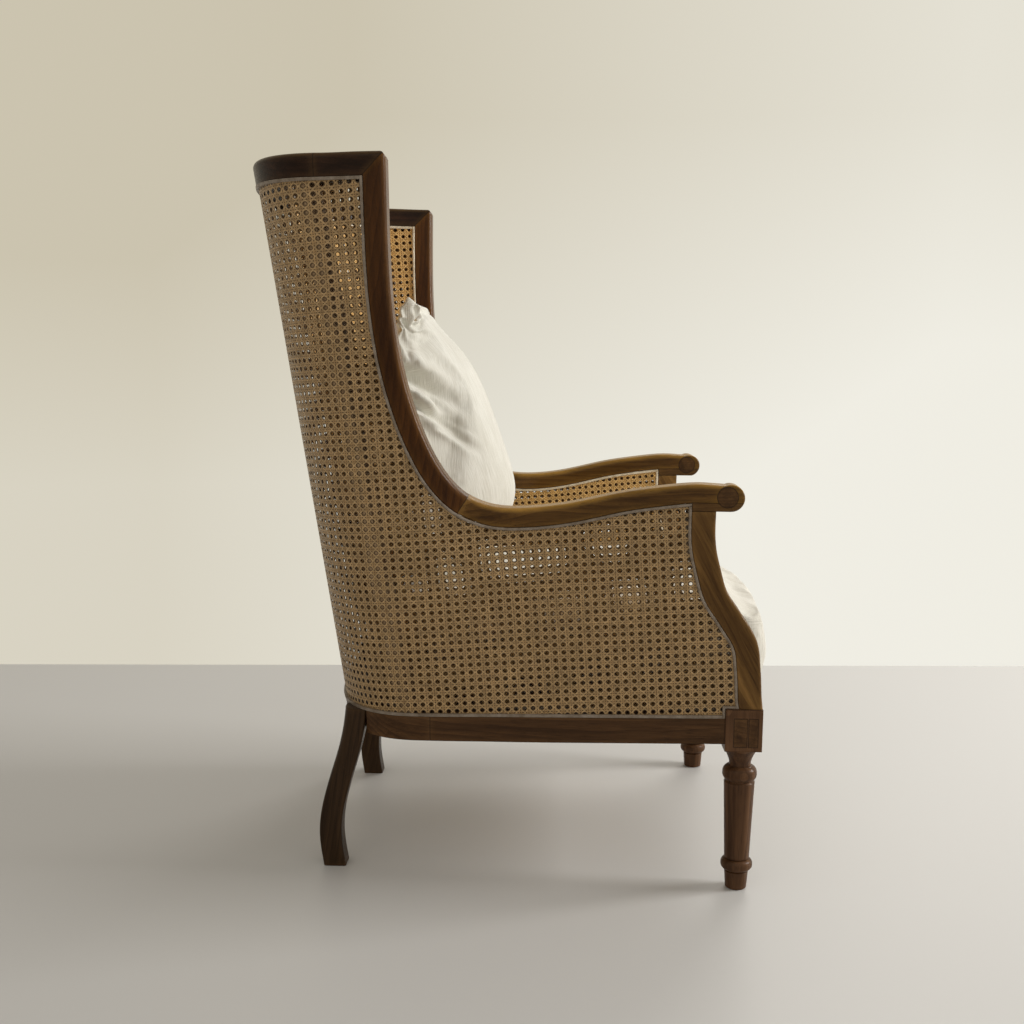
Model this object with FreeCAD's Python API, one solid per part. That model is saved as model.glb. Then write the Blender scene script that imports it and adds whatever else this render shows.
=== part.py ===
import FreeCAD, Part
import math
import os

os.makedirs("parts", exist_ok=True)

V = FreeCAD.Vector

# High-back cane armchair with curved wings, a loose seat cushion and a loose back pillow.
# Millimetres. The sitter looks along -Y, +X is the sitter's left, +Z is up.
# Plan sizes are given at the seat level and at the top; a straight line joins the two.

# Overall sizes
overall_height = 1108.0
overall_width = 754.0
wall_thickness = 46.0
seat_level = 270.0

# Plan of the outer wall, measured from a datum line across the seat
front_reach = 311.0
front_half_width = 319.0
corner_start_low = 190.0
corner_start_top = 325.0
corner_half_width_low = 293.0
corner_half_width_top = 359.0
corner_end_half_low = 154.0
corner_end_half_top = 237.0
corner_fullness_share = 0.56
back_reach_low = 340.0
back_reach_top = 465.0
back_bow_low = 12.0
back_bow_top = 19.0

# Where the wings begin to lean outwards, and where the lean is full
flare_start = 20.0
flare_full = 200.0

# Arm and wing stile, one continuous curve from the nose to the top mitre
arm_level = 622.0
arm_front_half_width = 312.0
arm_nose_reach = 281.5
stile_top_reach = 245.0
stile_depth = 33.0
arm_nose_depth = 27.6
arm_edge_round = 9.0
arm_under_round = 1.6
scarf_share = 0.417
arm_line_shares = (
    (0.0, 0.0), (0.107, 0.002), (0.2, -0.009), (0.314, -0.029), (0.428, -0.058), (0.534, -0.0765),
    (0.6255, -0.081), (0.709, -0.067), (0.781, -0.026), (0.846, 0.0535), (0.909, 0.191),
    (0.954, 0.346), (0.983, 0.531), (0.995, 0.757), (1.0, 1.08),
)

# Rolled nose of the arm, the block glued under it, and the round inlays
nose_radius = 20.3
nose_centre_drop = 4.7
nose_block_height = 13.0
nose_block_rear_reach = 223.5
nose_rim_round = 3.0
nose_face_step = 0.4
inlay_radius = 15.6
inlay_shift = 5.5
inlay_rise = 1.4
inlay_depth = 5.0
inlay_proud = 0.8

# Shaped arm post between the leg block and the nose block
post_width = 36.5
post_top_reach = 241.5
post_bottom_reach = 320.5
post_edge_round = 5.0
post_line_shares = (
    (1.015, -0.06), (1.0, 0.0), (0.952, 0.156), (0.905, 0.285), (0.81, 0.361), (0.69, 0.411),
    (0.468, 0.497), (0.304, 0.56), (0.209, 0.619), (0.12, 0.702), (0.07, 0.757), (0.025, 0.812),
    (0.0, 1.0), (-0.01, 1.05),
)

# Turned front leg below its square block
block_side = 57.0
block_bottom = 229.0
block_top = 295.0
front_leg_half_spacing = 293.5
leg_neck_radius = 16.9
leg_neck_level = 206.0
leg_neck_height = 6.0
leg_collar_radius = 26.4
leg_collar_height = 23.0
leg_body_top_radius = 23.8
leg_body_bottom_radius = 19.3
leg_ankle_level = 49.0
leg_ankle_radius = 24.7
leg_ankle_height = 19.0
leg_foot_top_radius = 18.6
leg_foot_bottom_radius = 16.7
leg_foot_round = 3.0
cove_share = 0.28
cove_rise_share = 0.42
bead_swell_share = 0.72
bead_turn_share = 0.3
quirk_depth = 2.0
quirk_height = 1.5
block_edge_round = 1.5

# Rear legs, swept back below the seat
rear_leg_width = 38.0
rear_leg_depth = 36.0
rear_leg_top_half_spacing = 231.0
rear_leg_foot_half_spacing = 227.0
rear_leg_top_reach = 295.0
rear_leg_kick = 43.5
rear_leg_corner_round = 22.0
rear_leg_edge_round = 4.0
rear_leg_shares = (
    (1.0, 0.0, 1.0), (0.86, 0.0, 0.9), (0.74, 0.09, 0.8), (0.62, 0.27, 0.65), (0.5, 0.53, 0.5),
    (0.38, 0.78, 0.35), (0.25, 0.97, 0.25), (0.12, 0.98, 0.2), (0.0, 0.85, 0.2),
)

# Seat frame: its rails fall gently towards the back
rail_height = 40.5
rail_top_front = 281.0
rail_fall = 11.5
rail_fall_run = 447.0
rail_edge_round = 1.5
side_rail_joint_reach = 172.0
front_rail_top = 282.0
front_rail_height = 46.0
front_rail_thickness = 38.0
front_rail_setback = 6.5
tenon_height = 45.0
tenon_shoulder = 0.5
rear_tenon_width = 21.0
front_tenon_width = 15.0
tenon_proud = 0.4

# Top rail, in a short straight piece, a bent corner and the back piece
top_rail_height = 34.0
top_rail_round = 8.0
top_corner_start_share = 1.05
top_corner_end_share = 1.95

# Cane skins, the reed bead that locks their edges, and the posts between them
cane_thickness = 1.8
cane_inset = 2.0
cane_gap = 0.6
bead_width = 4.5
bead_gap = 0.2
bead_proud = 1.2
bead_round = 1.6
bead_flat_round = 0.3
hidden_post_width = 24.0
hidden_post_gap = 1.0
hidden_post_low_share = 1.11
hidden_post_top_share = 1.19

# Seat deck, the cleats that carry it, corner blocks and screws
deck_thickness = 18.0
deck_gap = 2.0
cleat_height = 20.0
cleat_width = 18.0
rear_cleat_half_length = 190.0
corner_block_leg = 58.0
corner_block_height = 24.0
screw_radius = 2.2
screw_head_radius = 4.0
screw_head_height = 1.6
screw_length = 30.0
screw_side_shares = (0.08, 0.5, 0.92)
screw_cross_shares = (-0.7, 0.0, 0.7)

# Loose seat cushion, boxed and crowned
cushion_gap = 0.3
cushion_side_height = 158.0
cushion_crown = 40.0
cushion_front_half_width = 261.0
cushion_front_reach = 352.0
cushion_front_bow = 18.0
cushion_side_half_width = 242.0
cushion_side_end_reach = 196.0
cushion_rear_half_width = 168.0
cushion_rear_corner_reach = 280.0
cushion_rear_reach = 288.0
cushion_front_round = 34.0
cushion_rear_round = 74.0
cushion_bow_round = 1500.0
cushion_side_shares = ((0.0, 0.965), (0.07, 0.985), (0.34, 1.0), (0.7, 1.0), (1.0, 0.984), (1.4, 0.95))
cushion_crown_shares = (
    (-0.05, -0.2, -0.15), (0.05, 0.0, 0.45), (0.15, 0.035, 0.88), (0.25, 0.04, 1.0), (0.35, 0.035, 0.985),
    (0.45, 0.025, 0.955), (0.55, 0.01, 0.915), (0.65, -0.005, 0.865), (0.75, -0.025, 0.8),
    (0.85, -0.05, 0.72), (0.95, -0.09, 0.48), (1.05, -0.15, 0.0),
)

# Loose back pillow, knife edged, standing on the seat cushion
pillow_half_width = 250.0
pillow_top_half_width = 212.0
pillow_gap = 0.5
pillow_top_level = 925.0
pillow_bottom_reach = 190.0
pillow_top_reach = 215.0
pillow_front_bulge = 147.0
pillow_rear_bulge = 143.9
pillow_edge_thickness = 7.0
pillow_shares = (
    (0.0, 0.02, 0.02), (0.03, 0.4, 0.38), (0.08, 0.7, 0.68), (0.15, 0.89, 0.88), (0.247, 1.0, 0.985),
    (0.33, 0.975, 1.0), (0.408, 0.905, 0.965), (0.541, 0.769, 0.83), (0.672, 0.612, 0.64),
    (0.777, 0.422, 0.45), (0.867, 0.204, 0.25), (0.923, 0.068, 0.11), (1.0, 0.02, 0.02),
)

far = 4.0 * overall_height
place_step_share = 0.002
wall_steps = 6


def blend(share):
    """Smooth step from nought to one."""
    share = min(max(share, 0.0), 1.0)
    return share * share * (3.0 - 2.0 * share)


def mix(low, high, share):
    return low + (high - low) * share


def level_share(z):
    return (z - seat_level) / (overall_height - seat_level)


def low_half_width(y):
    share = (y + front_reach) / (corner_start_low + front_reach)
    return mix(front_half_width, corner_half_width_low, share)


front_lean = (arm_front_half_width - front_half_width) / (arm_level - seat_level)
wing_lean = (overall_width / 2 - low_half_width(stile_top_reach)) / (overall_height - seat_level)
corner_lean = ((corner_half_width_top - low_half_width(corner_start_top))
               / (overall_height - seat_level))


def outward_lean(y):
    """Sideways lean of the wall, per unit of height, at a place along the side."""
    lean = mix(front_lean, wing_lean, blend((y + flare_start) / (flare_full + flare_start)))
    fade = blend((y - stile_top_reach) / (corner_start_top - stile_top_reach))
    return mix(lean, corner_lean, fade)


def half_width(y, z):
    """Half the width over the outer faces of the side frames."""
    return low_half_width(y) + outward_lean(y) * (z - seat_level)


def rail_top(y):
    """Level of the seat rails' top, which falls towards the back."""
    return rail_top_front - rail_fall * (y + front_reach) / rail_fall_run


def plan_point(u, z):
    """Outer plan line at a level: u runs 0 to 1 along the side, to 2 round the corner, to 3 at the back."""
    share = level_share(z)
    corner_y = mix(corner_start_low, corner_start_top, share)
    corner_x = half_width(corner_y, z)
    end_x = mix(corner_end_half_low, corner_end_half_top, share)
    bow = mix(back_bow_low, back_bow_top, share)
    back_y = mix(back_reach_low, back_reach_top, share)
    end_y = back_y - bow
    if u <= 1.0:
        y = mix(-front_reach - block_side, corner_y, u)
        return half_width(y, z), y
    if u >= 2.0:
        x = end_x * (3.0 - u)
        return x, back_y - bow * (x / end_x) ** 2
    step = wall_thickness / 10
    side_slope = (corner_x - half_width(corner_y - step, z)) / step
    end_slope = 2.0 * bow / end_x
    reach_y = corner_fullness_share * (end_y - corner_y)
    reach_x = corner_fullness_share * (corner_x - end_x)
    t = u - 1.0
    weights = ((1.0 - t) ** 3, 3.0 * t * (1.0 - t) ** 2, 3.0 * t * t * (1.0 - t), t ** 3)
    xs = (corner_x, corner_x + side_slope * reach_y, end_x + reach_x, end_x)
    ys = (corner_y, corner_y + reach_y, end_y - end_slope * reach_x, end_y)
    return (sum(w * x for w, x in zip(weights, xs)), sum(w * y for w, y in zip(weights, ys)))


def plan_frame(u, z):
    """Point, tangent and inward normal of the outer plan line."""
    step = place_step_share
    x, y = plan_point(u, z)
    xa, ya = plan_point(max(u - step, 0.0), z)
    xb, yb = plan_point(min(u + step, 3.0), z)
    tangent = V(xb - xa, yb - ya, 0.0)
    tangent.normalize()
    return V(x, y, z), tangent, V(-tangent.y, tangent.x, 0.0)


def wall_point(u, z, depth):
    """Point of the wall at a depth inside its outer face, on the sitter's left."""
    point, tangent, inward = plan_frame(u, z)
    return point + inward * depth


def mirrored(point):
    return V(-point.x, point.y, point.z)


def u_at(y, z):
    """Place along the side line that has this reach."""
    corner_y = mix(corner_start_low, corner_start_top, level_share(z))
    return (y + front_reach + block_side) / (corner_y + front_reach + block_side)


def rounded_outline(points, radii):
    """Closed flat outline through corners, each rounded by its own radius."""
    count = len(points)
    arcs = []
    for i in range(count):
        here, before, after = points[i], points[i - 1], points[(i + 1) % count]
        back = (before - here).normalize()
        ahead = (after - here).normalize()
        half = back.getAngle(ahead) / 2
        cut = radii[i] / math.tan(half)
        middle_way = (back + ahead).normalize()
        centre = here + middle_way * (radii[i] / math.sin(half))
        arcs.append((here + back * cut, centre - middle_way * radii[i], here + ahead * cut))
    edges = []
    for i in range(count):
        start, middle, end = arcs[i]
        edges.append(Part.LineSegment(arcs[i - 1][2], start).toShape())
        edges.append(Part.Arc(start, middle, end).toShape())
    return Part.Wire(edges)


def loft(wires):
    return Part.makeLoft(wires, True, False)


def box(x0, x1, y0, y1, z0, z1):
    return Part.makeBox(x1 - x0, y1 - y0, z1 - z0, V(x0, y0, z0))


def side_curve(points):
    """Smooth curve in the side view through (reach, level) pairs."""
    curve = Part.BSplineCurve()
    curve.interpolate([V(0.0, y, z) for y, z in points])
    return curve


def side_stations(curve, count, width_start, width_end):
    """Front and rear edge points of a stick that follows a side-view curve."""
    stations = []
    for i in range(count):
        share = i / (count - 1)
        t = mix(curve.FirstParameter, curve.LastParameter, share)
        here = curve.value(t)
        ahead = curve.tangent(t)[0]
        across = V(0.0, -ahead.z, ahead.y) * (mix(width_start, width_end, share) / 2)
        stations.append((here + across, here - across))
    return stations


def wall_depth_x(y, z, depth):
    """Distance from the middle plane to a depth inside the side wall."""
    step = wall_thickness / 10
    slope = (half_width(y + step, z) - half_width(y - step, z)) / (2 * step)
    return half_width(y, z) - depth * math.sqrt(1.0 + slope * slope)


def side_stick(stations, rounds, depths=(0.0, wall_thickness)):
    """Stick in the left side wall. The rounds go front outer, front inner, rear inner, rear outer."""
    wires = []
    for front, rear in stations:
        corners = []
        for point, depth in ((front, 0), (front, 1), (rear, 1), (rear, 0)):
            corners.append(V(wall_depth_x(point.y, point.z, depths[depth]), point.y, point.z))
        normal = (corners[1] - corners[0]).cross(corners[3] - corners[0]).normalize()
        corners[2] = corners[2] - normal * (corners[2] - corners[0]).dot(normal)
        wires.append(rounded_outline(corners, rounds))
    return loft(wires)


def wall_stick(places, bottom, top, depths, rounds):
    """Stick that follows the plan line, from one place u to the next."""
    wires = []
    for u, left in places:
        middle = (bottom(u) + top(u)) / 2
        point, tangent, inward = plan_frame(u, middle)
        corners = []
        for z, depth in ((top(u), 0), (top(u), 1), (bottom(u), 1), (bottom(u), 0)):
            corner = wall_point(u, z, depths[depth])
            corner = corner - tangent * (corner - point).dot(tangent)
            corners.append(corner if left else mirrored(corner))
        wires.append(rounded_outline(corners, rounds))
    return loft(wires)


def hoop_curve(z, depth):
    """Smooth plan curve round the whole wall at one level and depth."""
    left = [wall_point(i / wall_steps, z, depth) for i in range(3 * wall_steps + 1)]
    left[-1] = V(0.0, left[-1].y, left[-1].z)
    points = [mirrored(p) for p in left] + left[-2::-1]
    curve = Part.BSplineCurve()
    curve.interpolate(points)
    return curve.toShape()


def wall_skin(outer_depth, inner_depth, levels):
    """Thin shell that goes round the whole wall between two depths."""
    wires = []
    for z in levels:
        outer = hoop_curve(z, outer_depth)
        inner = hoop_curve(z, inner_depth)
        ends = (outer.Vertexes[0].Point, outer.Vertexes[-1].Point)
        tips = (inner.Vertexes[0].Point, inner.Vertexes[-1].Point)
        edges = [outer, Part.LineSegment(ends[1], tips[1]).toShape(), inner,
                 Part.LineSegment(tips[0], ends[0]).toShape()]
        wires.append(Part.Wire(Part.__sortEdges__(edges)))
    return loft(wires)


def side_prism(edges):
    """Solid across the whole width with a side-view outline."""
    face = Part.Face(Part.Wire(Part.__sortEdges__(edges)))
    face.translate(V(-far, 0.0, 0.0))
    return face.extrude(V(2 * far, 0.0, 0.0))


def polygon_edges(points):
    return [Part.LineSegment(a, b).toShape() for a, b in zip(points, points[1:])]


def mirror(shape):
    return shape.mirror(V(0.0, 0.0, 0.0), V(1.0, 0.0, 0.0))


def side_edge(stations, rear, offset):
    """Smooth side-view curve along one edge of a stick, moved outwards from the stick."""
    points = []
    for front, back in stations:
        away = (back - front).normalize()
        points.append(back + away * offset if rear else front - away * offset)
    curve = Part.BSplineCurve()
    curve.interpolate(points)
    return curve.toShape(), points[0], points[-1]


def line_edges(*points):
    return polygon_edges([V(0.0, p[0], p[1]) for p in points])


def below_rails(offset):
    """Everything below the sloping top of the seat rails."""
    front = (-far, rail_top(-far) + offset)
    rear = (far, rail_top(far) + offset)
    return side_prism(line_edges(front, rear, (far, -far), (-far, -far), front))


block_rear = -front_reach + block_side / 2
nose_level = arm_level - nose_centre_drop
nose_block_bottom = nose_level - nose_radius
nose_block_top = nose_block_bottom + nose_block_height
post_top = nose_block_bottom
wing_rise = overall_height - arm_level
top_rail_bottom = overall_height - top_rail_height

# Side-view curves of the arm with its stile, and of the arm post
arm_run = stile_top_reach + arm_nose_reach
arm_curve = side_curve([(-arm_nose_reach + arm_run * a, arm_level + wing_rise * b)
                        for a, b in arm_line_shares])
post_curve = side_curve([(-mix(post_top_reach, post_bottom_reach, a), mix(block_top, post_top, b))
                         for a, b in post_line_shares])
arm_stations = side_stations(arm_curve, 25, arm_nose_depth, stile_depth)
post_stations = side_stations(post_curve, 15, post_width, post_width)
parts = {}


def add_pair(name, left):
    parts[name + "_left"] = left
    parts[name + "_right"] = mirror(left)


def wall_frame(y, z):
    """Outer face point of the left side wall and the direction into the wall."""
    step = wall_thickness / 10
    along = V(half_width(y + step, z) - half_width(y - step, z), 2 * step, 0.0)
    upward = V(half_width(y, z + step) - half_width(y, z - step), 0.0, 2 * step)
    return V(half_width(y, z), y, z), along.cross(upward).normalize() * -1.0


def wall_disc(y, z, radius, start, end):
    """Round piece across the side wall, from one depth to another."""
    point, inward = wall_frame(y, z)
    return Part.makeCylinder(radius, end - start, point + inward * start, inward)


# The arm, scarfed to the wing stile, with a rolled nose and the block glued under it
arm_count = len(arm_stations) - 1
scarf_station = round(scarf_share * arm_count)
arm_rounds = (arm_edge_round, arm_edge_round, arm_under_round, arm_under_round)
arm = side_stick(arm_stations[:scarf_station + 1], arm_rounds)
stile = side_stick(arm_stations[scarf_station:], arm_rounds)
nose = wall_disc(-arm_nose_reach, nose_level, nose_radius, nose_face_step, wall_thickness - nose_face_step)
nose = nose.makeFillet(nose_rim_round, [e for e in nose.Edges if isinstance(e.Curve, Part.Circle)])
under_block = side_stick([(V(0.0, -nose_block_rear_reach, nose_block_bottom),
                           V(0.0, -nose_block_rear_reach, nose_block_top)),
                          (V(0.0, -arm_nose_reach, nose_block_bottom),
                           V(0.0, -arm_nose_reach, nose_block_top))], (arm_under_round,) * 4)
lower_zone = box(0.0, far, -far, far, nose_block_bottom, nose_block_top)
nose_block = nose.common(lower_zone).fuse(under_block)
arm = arm.fuse(nose).cut(box(0.0, far, -far, -nose_block_rear_reach, 0.0, nose_block_top))
inlay_y = -arm_nose_reach + inlay_shift
inlay_z = nose_level + inlay_rise
outer_inlay = wall_disc(inlay_y, inlay_z, inlay_radius, -inlay_proud, inlay_depth)
inner_inlay = wall_disc(inlay_y, inlay_z, inlay_radius, wall_thickness - inlay_depth,
                        wall_thickness + inlay_proud)
inlays = Part.makeCompound([outer_inlay, inner_inlay])
arm = arm.cut(inlays).removeSplitter()
nose_block = nose_block.cut(inlays).removeSplitter()

# The top rail meets the stile in a mitre, and the corner above it is rounded off
stile_front_reach = stile_top_reach - stile_depth / 2
stile_rear_reach = stile_top_reach + stile_depth / 2
mitre_run = stile_rear_reach - stile_front_reach
mitre_slope = mitre_run / top_rail_height
mitre_low = (stile_front_reach - mitre_slope * far, overall_height + far)
mitre_high = (stile_front_reach + mitre_slope * far, overall_height - far)
behind_mitre = side_prism(line_edges(mitre_low, mitre_high, (2 * far, -far), (2 * far, 2 * far), mitre_low))
corner_y = stile_front_reach + top_rail_round
corner_z = overall_height - top_rail_round
corner_round = Part.makeCylinder(top_rail_round, 2 * far, V(-far, corner_y, corner_z), V(1.0, 0.0, 0.0))
corner_tool = box(-far, far, stile_front_reach - stile_depth, corner_y,
                  corner_z, overall_height + stile_depth)
corner_tool = corner_tool.cut(corner_round)
stile = stile.cut(behind_mitre).cut(corner_tool).removeSplitter()

add_pair("arm", arm)
add_pair("arm_nose_block", nose_block)
add_pair("arm_scroll_discs", inlays)
add_pair("wing_stile", stile)

# Arm post, standing on the leg block
post = side_stick(post_stations, (post_edge_round, post_edge_round, arm_under_round, arm_under_round))
post = post.common(box(0.0, far, -far, far, block_top, post_top))
add_pair("arm_post", post)

# Front leg: a square block with the turned leg below it, mortised for the front rail
leg_centre = V(front_leg_half_spacing, -front_reach, 0.0)
collar_bottom = leg_neck_level - leg_neck_height - leg_collar_height
ankle_bottom = leg_ankle_level - leg_ankle_height


def turned(points):
    """Solid turned from line and three-point arc pieces of a profile."""
    edges = []
    start = V(points[0][0], 0.0, points[0][1])
    first = start
    for step in points[1:]:
        end = V(step[0], 0.0, step[1])
        if len(step) == 4:
            edges.append(Part.Arc(start, V(step[2], 0.0, step[3]), end).toShape())
        else:
            edges.append(Part.LineSegment(start, end).toShape())
        start = end
    edges.append(Part.LineSegment(start, first).toShape())
    return Part.Face(Part.Wire(edges)).revolve(V(0.0, 0.0, 0.0), V(0.0, 0.0, 1.0), 360.0)


neck_bottom = leg_neck_level - leg_neck_height
collar_middle = neck_bottom - leg_collar_height / 2
ankle_middle = leg_ankle_level - leg_ankle_height / 2
shoulder_radius = block_side / 2
cove_radius = mix(leg_neck_radius, shoulder_radius, cove_share)
cove_level = mix(leg_neck_level, block_bottom, cove_rise_share)
foot_relief = leg_foot_round * (1.0 - math.sqrt(0.5))
leg_turning = turned((
    (0.0, block_bottom + block_side / 2),
    (shoulder_radius, block_bottom + block_side / 2),
    (shoulder_radius, block_bottom),
    (leg_neck_radius, leg_neck_level, cove_radius, cove_level),
    (leg_neck_radius, neck_bottom),
    (leg_collar_radius, collar_middle, mix(leg_neck_radius, leg_collar_radius, bead_swell_share),
     mix(neck_bottom, collar_middle, bead_turn_share)),
    (leg_body_top_radius - quirk_depth, collar_bottom,
     mix(leg_body_top_radius - quirk_depth, leg_collar_radius, bead_swell_share),
     mix(collar_bottom, collar_middle, bead_turn_share)),
    (leg_body_top_radius - quirk_depth, collar_bottom - quirk_height),
    (leg_body_top_radius, collar_bottom - quirk_height - quirk_depth),
    (leg_body_bottom_radius, leg_ankle_level + quirk_height),
    (leg_body_bottom_radius - quirk_depth, leg_ankle_level),
    (leg_ankle_radius, ankle_middle,
     mix(leg_body_bottom_radius - quirk_depth, leg_ankle_radius, bead_swell_share),
     mix(leg_ankle_level, ankle_middle, bead_turn_share)),
    (leg_foot_top_radius - quirk_depth, ankle_bottom,
     mix(leg_foot_top_radius - quirk_depth, leg_ankle_radius, bead_swell_share),
     mix(ankle_bottom, ankle_middle, bead_turn_share)),
    (leg_foot_top_radius, ankle_bottom - quirk_depth),
    (leg_foot_bottom_radius, leg_foot_round),
    (leg_foot_bottom_radius - leg_foot_round, 0.0, leg_foot_bottom_radius - foot_relief, foot_relief),
    (0.0, 0.0),
))
leg_turning.translate(leg_centre)
square = box(front_leg_half_spacing - block_side / 2, front_leg_half_spacing + block_side / 2,
             -front_reach - block_side / 2, -front_reach + block_side / 2, block_bottom, block_top)
square = square.makeFillet(block_edge_round, [e for e in square.Edges if e.BoundBox.ZLength > block_side])
leg = square.fuse(leg_turning).removeSplitter()
block_outer = front_leg_half_spacing + block_side / 2
rail_front = -front_reach - block_side / 2 + front_rail_setback
rail_rear = rail_front + front_rail_thickness
tenon_low = rail_top_front - tenon_height
rear_tenon = box(-block_outer - tenon_proud, block_outer + tenon_proud, rail_rear - rear_tenon_width,
                 rail_rear - tenon_shoulder, tenon_low, rail_top_front)
front_tenon = box(-block_outer - tenon_proud, block_outer + tenon_proud, rail_front + tenon_shoulder,
                  rail_front + front_tenon_width, tenon_low, rail_top_front)
leg = leg.cut(rear_tenon).cut(front_tenon)
add_pair("front_leg", leg)

# Front seat rail, with a double through tenon at each end
block_inner = front_leg_half_spacing - block_side / 2
front_rail_bottom = front_rail_top - front_rail_height
front_rail = box(-block_inner, block_inner, rail_front, rail_rear, front_rail_bottom, front_rail_top)
long_edges = [e for e in front_rail.Edges if e.BoundBox.XLength > block_side]
front_rail = front_rail.makeFillet(rail_edge_round, long_edges)
parts["front_seat_rail"] = front_rail.fuse(rear_tenon).fuse(front_tenon).removeSplitter()

# Seat rails under the cane: one ring, cut where the real pieces meet
low_levels = [seat_level + wall_thickness * k for k in (-2, 0, 1)]
ring = wall_skin(0.0, wall_thickness, low_levels)
ring = ring.cut(box(-far, far, -far, block_rear, -far, far))
rail_band = ((-far, rail_top(-far)), (far, rail_top(far)), (far, rail_top(far) - rail_height),
             (-far, rail_top(-far) - rail_height), (-far, rail_top(-far)))
ring = ring.common(side_prism(line_edges(*rail_band)))
leg_inner = rear_leg_top_half_spacing - rear_leg_width / 2
leg_front = rear_leg_top_reach - rear_leg_depth / 2
side_rail = ring.common(box(0.0, far, -far, side_rail_joint_reach, -far, far))
corner_rail = ring.common(box(leg_inner, far, side_rail_joint_reach, leg_front, -far, far))
back_rail = ring.common(box(-leg_inner, leg_inner, 0.0, far, -far, far))
add_pair("side_seat_rail", side_rail)
add_pair("rear_corner_rail", corner_rail)

# Rear leg, swept back below the seat, with its outer rear corner following the bent rail
rear_sections = []
for rise, kick, corner_share in rear_leg_shares:
    z = rise * (rail_top_front + rail_height)
    x = mix(rear_leg_foot_half_spacing, rear_leg_top_half_spacing, rise)
    y = rear_leg_top_reach + rear_leg_kick * kick
    half_x = rear_leg_width / 2
    half_y = rear_leg_depth / 2
    outline = [V(x - half_x, y - half_y, z), V(x + half_x, y - half_y, z),
               V(x + half_x, y + half_y, z), V(x - half_x, y + half_y, z)]
    corner_round = rear_leg_corner_round * corner_share
    rear_sections.append(rounded_outline(outline, (rear_leg_edge_round, rear_leg_edge_round,
                                                   corner_round, rear_leg_edge_round)))
rear_leg = loft(rear_sections).common(below_rails(0.0))
add_pair("rear_leg", rear_leg)
parts["back_seat_rail"] = back_rail.cut([rear_leg, mirror(rear_leg)])


# Top rail: a short straight piece, a bent corner and a bowed back piece, all at one level
def top_level(u):
    return overall_height


def under_level(u):
    return top_rail_bottom


def top_piece(start, end, count):
    return [(mix(start, end, i / (count - 1)), True) for i in range(count)]


rail_depths = (0.0, wall_thickness)
rail_rounds = (top_rail_round, top_rail_round, arm_under_round, arm_under_round)
straight_start = u_at(stile_front_reach - stile_depth, overall_height)
straight_run = top_piece(straight_start, top_corner_start_share, 5)
bent_run = top_piece(top_corner_start_share, top_corner_end_share, 9)
half_back = top_piece(top_corner_end_share, 3.0, 5)
whole_back = half_back + [(u, False) for u, left in half_back[-2::-1]]
top_side = wall_stick(straight_run, under_level, top_level, rail_depths, rail_rounds)
top_side = top_side.common(behind_mitre).cut(corner_tool).removeSplitter()
top_corner = wall_stick(bent_run, under_level, top_level, rail_depths, rail_rounds)
top_back = wall_stick(whole_back, under_level, top_level, rail_depths, rail_rounds)
add_pair("top_side_rail", top_side)
add_pair("top_corner_rail", top_corner)
parts["top_back_rail"] = top_back

# Uprights hidden between the two skins of cane, where the sides turn into the back
post_levels = [mix(rail_top_front - rail_height, overall_height, k / 5) for k in range(6)]
post_skin = cane_inset + cane_thickness + hidden_post_gap
upright_sections = []
for z in post_levels:
    u = mix(hidden_post_low_share, hidden_post_top_share, level_share(z))
    point, tangent, inward = plan_frame(u, z)
    half = tangent * (hidden_post_width / 2)
    near = point + inward * post_skin
    deep = point + inward * (wall_thickness - post_skin)
    upright_sections.append(rounded_outline([near - half, deep - half, deep + half, near + half],
                                            (arm_under_round,) * 4))
upright = loft(upright_sections).cut(below_rails(0.0)).common(box(0.0, far, 0.0, far, 0.0, top_rail_bottom))
add_pair("back_post", upright)


def above_arm(offset):
    """Everything above the lower edge of the arm and in front of the stile's rear edge."""
    curve, low, high = side_edge(arm_stations, True, offset)
    return side_prism([curve] + line_edges(
        (high.y, high.z), (high.y, far), (-far, far), (-far, low.z), (low.y, low.z)))


def before_post(offset):
    """Everything in front of the arm post's rear edge, its nose block and the leg block."""
    curve, low, high = side_edge(post_stations, True, offset)
    post_zone = side_prism([curve] + line_edges(
        (high.y, high.z), (high.y, arm_level), (-far, arm_level), (-far, 0.0), (low.y, 0.0), (low.y, low.z)))
    return post_zone.fuse([
        box(-far, far, -far, block_rear + offset, 0.0, block_top + offset),
        box(-far, far, -far, offset - nose_block_rear_reach, nose_block_bottom - offset, arm_level)])


# Two skins of woven cane, each one sheet that runs from arm post to arm post round the back
skin_levels = [mix(rail_top_front - rail_height, overall_height, k / 4) for k in range(5)]
inner_face = wall_thickness - cane_inset
frame_edge = (above_arm(0.0), before_post(0.0), below_rails(0.0))
bead_edge = (above_arm(bead_width), before_post(bead_width))
low_band = below_rails(bead_width).cut(frame_edge[2])
cane_stop = bead_width + cane_gap
cane_zone = box(-far, far, -front_reach, far, 0.0, top_rail_bottom - cane_stop)
cane_zone = cane_zone.cut([above_arm(cane_stop), before_post(cane_stop), below_rails(cane_stop)])
parts["outer_cane"] = wall_skin(cane_inset, cane_inset + cane_thickness, skin_levels).common(cane_zone)
parts["inner_cane"] = wall_skin(inner_face - cane_thickness, inner_face, skin_levels).common(cane_zone)


def bead_stations(stations):
    """Stations of the strip that follows the rear edge of a stick."""
    strip = []
    for front, rear in stations:
        away = (rear - front).normalize()
        strip.append((rear + away * bead_gap, rear + away * bead_width))
    return strip


def strip_low(u):
    return rail_top(plan_point(u, seat_level)[1]) - bead_width


def strip_high(u):
    return rail_top(plan_point(u, seat_level)[1]) + 2 * bead_width


def top_strip_low(u):
    return top_rail_bottom - bead_width


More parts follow.
